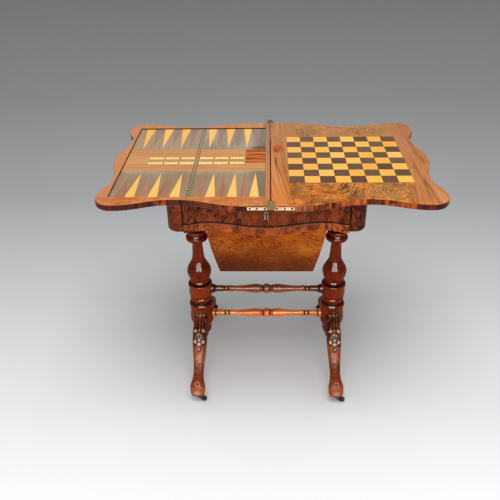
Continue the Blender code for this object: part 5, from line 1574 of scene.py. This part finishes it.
LEG_ROOT, LEG_SPREAD, LEG_WIDTH, LEG_CREASE = 0.0309, 0.256, 0.048, 60
FOOT_Z, KNEE_Z = 0.0228, 0.2049
RINGS_EACH, LEG_SIDES, LEG_SQUARENESS, FOOT_STARTS = 14, 88, 0.72, 9


def through(values, place):
    """A smooth value between a row of values."""
    index = min(int(place), len(values) - 2)
    share = place - index
    a, b = values[max(index - 1, 0)], values[index]
    c, d = values[index + 1], values[min(index + 2, len(values) - 1)]
    return 0.5 * (2 * b + (c - a) * share + (2 * a - 5 * b + 4 * c - d) * share ** 2
                  + (3 * b - a - 3 * c + d) * share ** 3)


def leg_ring(place, end):
    """The middle, half depth, half width and outer point of the section at a place."""
    columns = zip(*[(*outer, *inner, width) for outer, inner, width in LEG_SECTION_SHARES])
    *numbers, width = [through(column, place) for column in columns]
    outer, inner = [Vector((0, end * (LEG_ROOT + across * (LEG_SPREAD - LEG_ROOT)),
                            FOOT_Z + up * (KNEE_Z - FOOT_Z)))
                    for across, up in (numbers[:2], numbers[2:])]
    return (outer + inner) / 2, (outer - inner) / 2, LEG_WIDTH * width / 2, outer


print("leg sections:", len(LEG_SECTION_SHARES))


# %% Two small forms that carving is made of
def dome(distance, reach, height):
    """A rounded hill."""
    return height * math.sqrt(max(0.0, 1 - (distance / reach) ** 2)) if distance < reach else 0.0


def window(value, low, high, soft):
    """1 between two places, falling softly to 0."""
    rise = min(1.0, max(0.0, (value - low) / soft))
    fall = min(1.0, max(0.0, (high - value) / soft))
    return rise * rise * (3 - 2 * rise) * fall * fall * (3 - 2 * fall)


# %% The carving's measures
# A dome is given as its reach and height, and a ring or a hollow as its start, end and softness.
BEADS, CURLS, CRESCENT, DAISY, DROP = 0.021, 0.079, 0.0945, 0.112, 0.141
FOOT_EYE, FOOT_BALL = 0.258, 0.290
BEAD_PLACES, BEAD = (-0.0115, 0.0, 0.0115), (0.0056, 0.0034)
BEAD_HOLLOW, BEAD_HOLLOW_DEPTH = (BEADS - 0.009, BEADS + 0.009, 0.002), 0.0014
FLUTES, FLUTE_HEIGHT = (BEADS + 0.013, CURLS - 0.004, 0.005), 0.0013
FLUTE_PITCH, FLUTE_FAN = 0.0078, 0.5
CURL_FORMS, CURL_HEIGHT = ((-0.0130, 0.0062), (0.0, 0.0040), (0.0130, 0.0062)), 0.0034
CURL_HOLLOW_WIDTH, CURL_HOLLOW_DEPTH, CURL_SOFTNESS = 0.003, 0.0016, 0.001
CRESCENT_END, CRESCENT_SAG = CRESCENT + 0.004, 0.006
CRESCENT_RING, CRESCENT_HEIGHT = (0.0050, 0.0095, 0.002), 0.0034
DAISY_HOLLOW, DAISY_HOLLOW_DEPTH, DAISY_REACH = (0.0036, 0.0210, 0.0024), 0.0028, 0.009
PETALS, PETAL_HEIGHT, PETAL_RATE, PETAL_FAN = (0.0080, 0.0190, 0.0026), 0.0064, 2.5, 2.2
DAISY_EYE, DROP_FORM, DROP_NARROWING = (0.0042, 0.0044), (0.0040, 0.0026), 0.8
DROP_HOLLOW, DROP_HOLLOW_DEPTH = (0.0040, 0.0078, 0.0014), 0.0024
SCROLL_REACH, SCROLL_PITCH, SCROLL_HEIGHT, SCROLL_SOFTNESS = 0.0125, 0.0058, 0.0010, 0.003
SCROLL_EYE, FOOT_RING, FOOT_RING_HEIGHT = (0.0026, 0.0014), (0.0040, 0.0095, 0.002), 0.0019
FOOT_DIMPLE, FOOT_DIMPLE_DEPTH = (-1.0, 0.0042, 0.0012), 0.0007
BALL_FORM, BALL_WIDENING = (0.011, 0.0020), 0.6


# %% The carving
def beads_and_leaves(down, across):
    """Three beads in a hollow, and the fluted leaves that fan out under them."""
    height = -BEAD_HOLLOW_DEPTH * window(down, *BEAD_HOLLOW)
    for bead in BEAD_PLACES:
        height += dome(math.hypot(down - BEADS, across - bead), *BEAD)
    pitch = FLUTE_PITCH * (1.0 + FLUTE_FAN * (down - BEADS) / (CURLS - BEADS))
    return height + FLUTE_HEIGHT * window(down, *FLUTES) * math.cos(2 * math.pi * across / pitch)


def curls_and_crescent(down, across):
    """Three curls side by side, and the crescent that hangs over the daisy."""
    height = 0.0
    for curl, reach in CURL_FORMS:
        out = math.hypot(down - CURLS, across - curl)
        hollow = window(out, reach, reach + CURL_HOLLOW_WIDTH, CURL_SOFTNESS)
        height += dome(out, reach, CURL_HEIGHT) - CURL_HOLLOW_DEPTH * hollow
    if down < CRESCENT_END:
        arc = math.hypot(down - CRESCENT - CRESCENT_SAG, across)
        height += CRESCENT_HEIGHT * window(arc, *CRESCENT_RING)
    return height


def daisy_and_drop(down, across):
    """Half a daisy in a hollow, its round middle, and the drop under it."""
    height, out = 0.0, math.hypot(down - DAISY, across)
    if down > CRESCENT_END or out < DAISY_REACH:
        height -= DAISY_HOLLOW_DEPTH * window(out, *DAISY_HOLLOW)
    turn = math.atan2(across, down - DAISY)
    petal = abs(math.cos(PETAL_RATE * turn)) ** 0.5 * (abs(turn) < PETAL_FAN)
    height += PETAL_HEIGHT * window(out, *PETALS) * petal + dome(out, *DAISY_EYE)
    out = math.hypot((down - DROP) * DROP_NARROWING, across)
    return height + dome(out, *DROP_FORM) - DROP_HOLLOW_DEPTH * window(out, *DROP_HOLLOW)


def foot_carving(down, across, depth, cosine, face):
    """A spiral about its own eye on each side of the foot, and a ring and a ball in front."""
    height, out = 0.0, math.hypot(down - FOOT_EYE, depth)
    if out <= SCROLL_REACH:
        turn = math.atan2(depth, down - FOOT_EYE)
        ridge = math.cos(2 * math.pi * out / SCROLL_PITCH - turn)
        height = SCROLL_HEIGHT * ridge * window(out, 0.0, SCROLL_REACH, SCROLL_SOFTNESS)
        height = (height + dome(out, *SCROLL_EYE)) * abs(cosine) ** 0.5
    out = math.hypot(down - FOOT_EYE, across)
    front = FOOT_RING_HEIGHT * window(out, *FOOT_RING)
    front -= FOOT_DIMPLE_DEPTH * window(out, *FOOT_DIMPLE)
    front += dome(math.hypot(down - FOOT_BALL, BALL_WIDENING * across), *BALL_FORM)
    return height + front * face


# %% Lofting a leg
FACE_SHARPNESS, EYE_SHIFT, UNCARVED = 0.35, 0.1, 1e-5
CARVED_DEPTH, GROUND_NUMBER, PLAIN_NUMBER = 0.0040, 0.42, 0.12
PROUD_START, PROUD_RUN = 0.0012, 0.0014


def leg_point(section, down, angle, on_foot):
    """A point of a ring, how far the carving pushes it and how much it faces the front."""
    middle, half_depth, half_width = section[:3]
    cosine, sine = math.cos(angle), math.sin(angle)
    wide, deep = [math.copysign(abs(share) ** LEG_SQUARENESS, share) for share in (cosine, sine)]
    across, face = wide * half_width, max(0.0, sine) ** FACE_SHARPNESS
    push = (beads_and_leaves(down, across) + curls_and_crescent(down, across)
            + daisy_and_drop(down, across)) * face
    if on_foot:
        depth = (deep - EYE_SHIFT) * half_depth.length
        push += foot_carving(down, across, depth, cosine, face)
    way = Vector((cosine, 0, 0)) + sine * half_depth.normalized()
    place = middle + Vector((across, 0, 0)) + deep * half_depth
    return place + way.normalized() * push, push, face


def carved_leg(place_x, end):
    """The leg's mesh, its groove numbers and how proud each point stands."""
    bm = bmesh.new()
    rings, grooves, worn_and_lit_tips, down, before = [], [], [], 0.0, None
    for step in range((len(LEG_SECTION_SHARES) - 1) * RINGS_EACH + 1):
        place = step / RINGS_EACH
        section = leg_ring(place, end)
        down += (section[3] - (before or section[3])).length
        before = section[3]
        rings.append([])
        for side in range(LEG_SIDES):
            point, push, face = leg_point(section, down, 2 * math.pi * side / LEG_SIDES,
                                          place > FOOT_STARTS)
            grooves.append(GROUND_NUMBER - push / CARVED_DEPTH if abs(push) > UNCARVED
                           else PLAIN_NUMBER)
            # How proud a point stands feeds pale paint that is partly wear and partly painted
            # highlight.
            worn_and_lit_tips.append((push - PROUD_START) / PROUD_RUN * face)
            rings[-1].append(bm.verts.new(point + Vector((place_x, 0, 0))))
    for ring, following in zip(rings, rings[1:]):
        for side in range(LEG_SIDES):
            after = (side + 1) % LEG_SIDES
            bm.faces.new((ring[side], ring[after], following[after], following[side]))
    bm.faces.new(rings[0])
    bm.faces.new(rings[-1])
    return mesh_of(bm, LEG_CREASE), grooves, worn_and_lit_tips


# %% The four legs
def amber_shank(where, colour):
    """Amber below the carving, red-brown at the ankle and a paler orange on the foot."""
    for middle, reach, share, shade in ((0.118, 0.030, 0.55, (170, 82, 12)),
                                        (0.068, 0.026, 0.60, (128, 46, 14)),
                                        (0.034, 0.036, 0.60, (186, 96, 48))):
        away = abs(parts(where)[2] - middle)
        colour = blend(between(away, reach, 0.3 * reach, 0.0, share), colour, shade)
    return colour


carved_walnut = red_polish("carved_walnut", (178, 92, 36), (128, 54, 18), (66, 24, 8),
                           (12, 4, 2), coat=0.04, carved=True, touch=amber_shank)
for corner_name, sense, end in CORNERS:
    mesh, grooves, worn_and_lit_tips = carved_leg(BASE_X + sense * COLUMN_X, end)
    keep_number(mesh, grooves)
    keep_number(mesh, worn_and_lit_tips, "proud")
    set_down("carved_leg_" + corner_name, mesh, [carved_walnut], "base", "carved_walnut",
             "leg_" + corner_name)
print("leg points:", len(grooves))

# %% [markdown]
# ## Castor wheels
#
# The castors are small and dark. Their plates and forks are plain and stay as they are. A wheel is
# round enough to catch the light, so it is turned again with a soft tread and a raised hub.

# %% Castor wheels
WHEEL_SIDES = 48
WHEEL_TURNS = {"front_left": -15, "front_right": -15, "back_left": 15, "back_right": 165}
TREAD = [(0.0023, 0.0045), (0.0040, 0.0045), (0.0046, 0.0041), (0.0068, 0.0041),
         (0.0076, 0.0044), (0.0084, 0.0036), (0.0089, 0.0018), (0.0090, 0.0)]
for corner_name, degrees in WHEEL_TURNS.items():
    low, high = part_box("castor_wheel_" + corner_name)
    line = TREAD + [(radius, -height) for radius, height in reversed(TREAD[:-1])]
    wheel = spin(line + [line[0]], WHEEL_SIDES)
    bmesh.ops.remove_doubles(wheel, verts=wheel.verts, dist=TINY)
    put(wheel, (low + high) / 2, (math.radians(degrees), "Z"), (math.pi / 2, "X"))
    set_down("wheel_" + corner_name, wheel, [dark_iron], "wheel_" + corner_name, "dark_iron",
             "castor_wheel_" + corner_name)
print("wheels:", len(WHEEL_TURNS))

# %% [markdown]
# ## Floor, light and camera
#
# The picture was taken in a studio: a pale floor that falls off to grey behind, soft light from
# above, and a tall window with two panes in front, which shows in every round of the polish. The
# floor's fall-off is a ramp along the floor, so it needs no extra lamp. The overhead lamp and a
# weak one in front make all the light, and with them a colour renders about as it is written. The
# two panes light nothing. They only show as reflections, and only in the turned and carved pieces,
# because on a flat top the same reflection would be a white sheet over the veneer.

# %% Floor
FLOOR_EDGES, FLOOR_THICKNESS = (-12, -9, 12, 14), 0.02


def studio_floor():
    """A pale floor that fades to grey towards the back."""
    finish, where = blank_finish("studio_floor")
    fade = node("MapRange", {"Value": parts(where)[1], "From Min": -1.0, "From Max": 7.0})
    colour = shades(fade, (0.0, (253, 254, 255)), (0.05, (252, 253, 254)),
                    (0.09, (236, 238, 239)), (0.165, (208, 210, 211)), (0.28, (172, 173, 174)),
                    (0.48, (154, 155, 155)), (1.0, (145, 146, 146)))
    return dressed(finish, {
        "Base Color": blend(cloud(where, 0.7, 2) * 0.04, colour, (198, 200, 201)),
        "Roughness": 0.85, "Specular IOR Level": 0.1})


floor_mesh = mesh_of(slab(strip(*FLOOR_EDGES), -FLOOR_THICKNESS, 0.0))
floor_mesh.materials.append(studio_floor())
floor = bpy.data.objects.new("floor", floor_mesh)
bpy.context.scene.collection.objects.link(floor)
print("floor ready")

# %% Surroundings
world = bpy.data.worlds.new("studio")
bpy.context.scene.world = world
world.use_nodes = True
world.node_tree.nodes.clear()
rays = node("LightPath", {}, tree=world.node_tree).socket.node.outputs
camera_ray, glossy_ray, clear_ray = [
    Wire(rays["Is " + kind + " Ray"]) for kind in ("Camera", "Glossy", "Transmission")]
looks = camera_ray.reckoned("MAXIMUM", glossy_ray.reckoned("MAXIMUM", clear_ray))
fill, wall = [node("Background", {"Color": colour, "Strength": strength}, tree=world.node_tree)
              for colour, strength in (((0.995, 0.998, 1, 1), 0.58), (tone((150, 151, 152)), 1.0))]
fed(world.node_tree.nodes.new("ShaderNodeOutputWorld"),
    {"Surface": node("MixShader", {0: looks, 1: fill, 2: wall})})
print("surroundings ready")


# %% Lamps
def soft_lamp(name, place, aim, width, height, power, colour=(1, 1, 1)):
    """A rectangular lamp that faces a point."""
    lamp = bpy.data.lights.new(name, "AREA")
    lamp.shape, lamp.size, lamp.size_y = "RECTANGLE", width, height
    lamp.energy, lamp.color = power, colour
    stand = bpy.data.objects.new(name, lamp)
    stand.location = place
    stand.rotation_euler = (Vector(aim) - Vector(place)).to_track_quat("-Z", "Y").to_euler()
    bpy.context.scene.collection.objects.link(stand)
    stand.visible_camera = False
    return stand


TABLE_MIDDLE, PANE_TINT = (0, 0, 0.4), (0.90, 0.95, 1.0)
soft_lamp("overhead", (0.1, -1.0, 4.2), TABLE_MIDDLE, width=2.6, height=2.2, power=86)
front_fill = soft_lamp("front_fill", (0, -3.2, 1.1), TABLE_MIDDLE, width=2.6, height=1.6, power=16)
front_fill.visible_glossy = False
polished = bpy.data.collections.new("polished_rounds")
for piece in bpy.context.scene.objects:
    if piece.name.startswith(("turned_", "carved_")):
        polished.objects.link(piece)
for name, x in (("left_pane", -0.64), ("right_pane", 0.60)):
    pane = soft_lamp(name, (x, -2.3, 1.75), (x * 0.4, 0, 0.4), width=1.12, height=1.7, power=300,
                     colour=PANE_TINT)
    pane.visible_diffuse = False
    pane.light_linking.receiver_collection = polished

# %% Camera
PITCH, ROLL, YAW = math.radians(31.75), math.radians(-1.11), math.radians(-2.07)
CAMERA_PLACE = (-0.006, -1.641, 1.4385)
level_forward = Vector((math.sin(YAW), math.cos(YAW), 0))
level_right = Vector((math.cos(YAW), -math.sin(YAW), 0))
forward = level_forward * math.cos(PITCH) - Vector((0, 0, 1)) * math.sin(PITCH)
up = level_right.cross(forward)
right = level_right * math.cos(ROLL) + up * math.sin(ROLL)
upward = -level_right * math.sin(ROLL) + up * math.cos(ROLL)
eye = bpy.data.cameras.new("camera")
eye.lens, eye.sensor_width = 43.16, 36
camera = bpy.data.objects.new("camera", eye)
camera.matrix_world = (Matrix.Translation(CAMERA_PLACE)
                       @ Matrix((right, upward, -forward)).transposed().to_4x4())
bpy.context.scene.collection.objects.link(camera)
bpy.context.scene.camera = camera
bpy.context.scene.view_settings.view_transform = "Standard"
print("camera lens:", eye.lens)
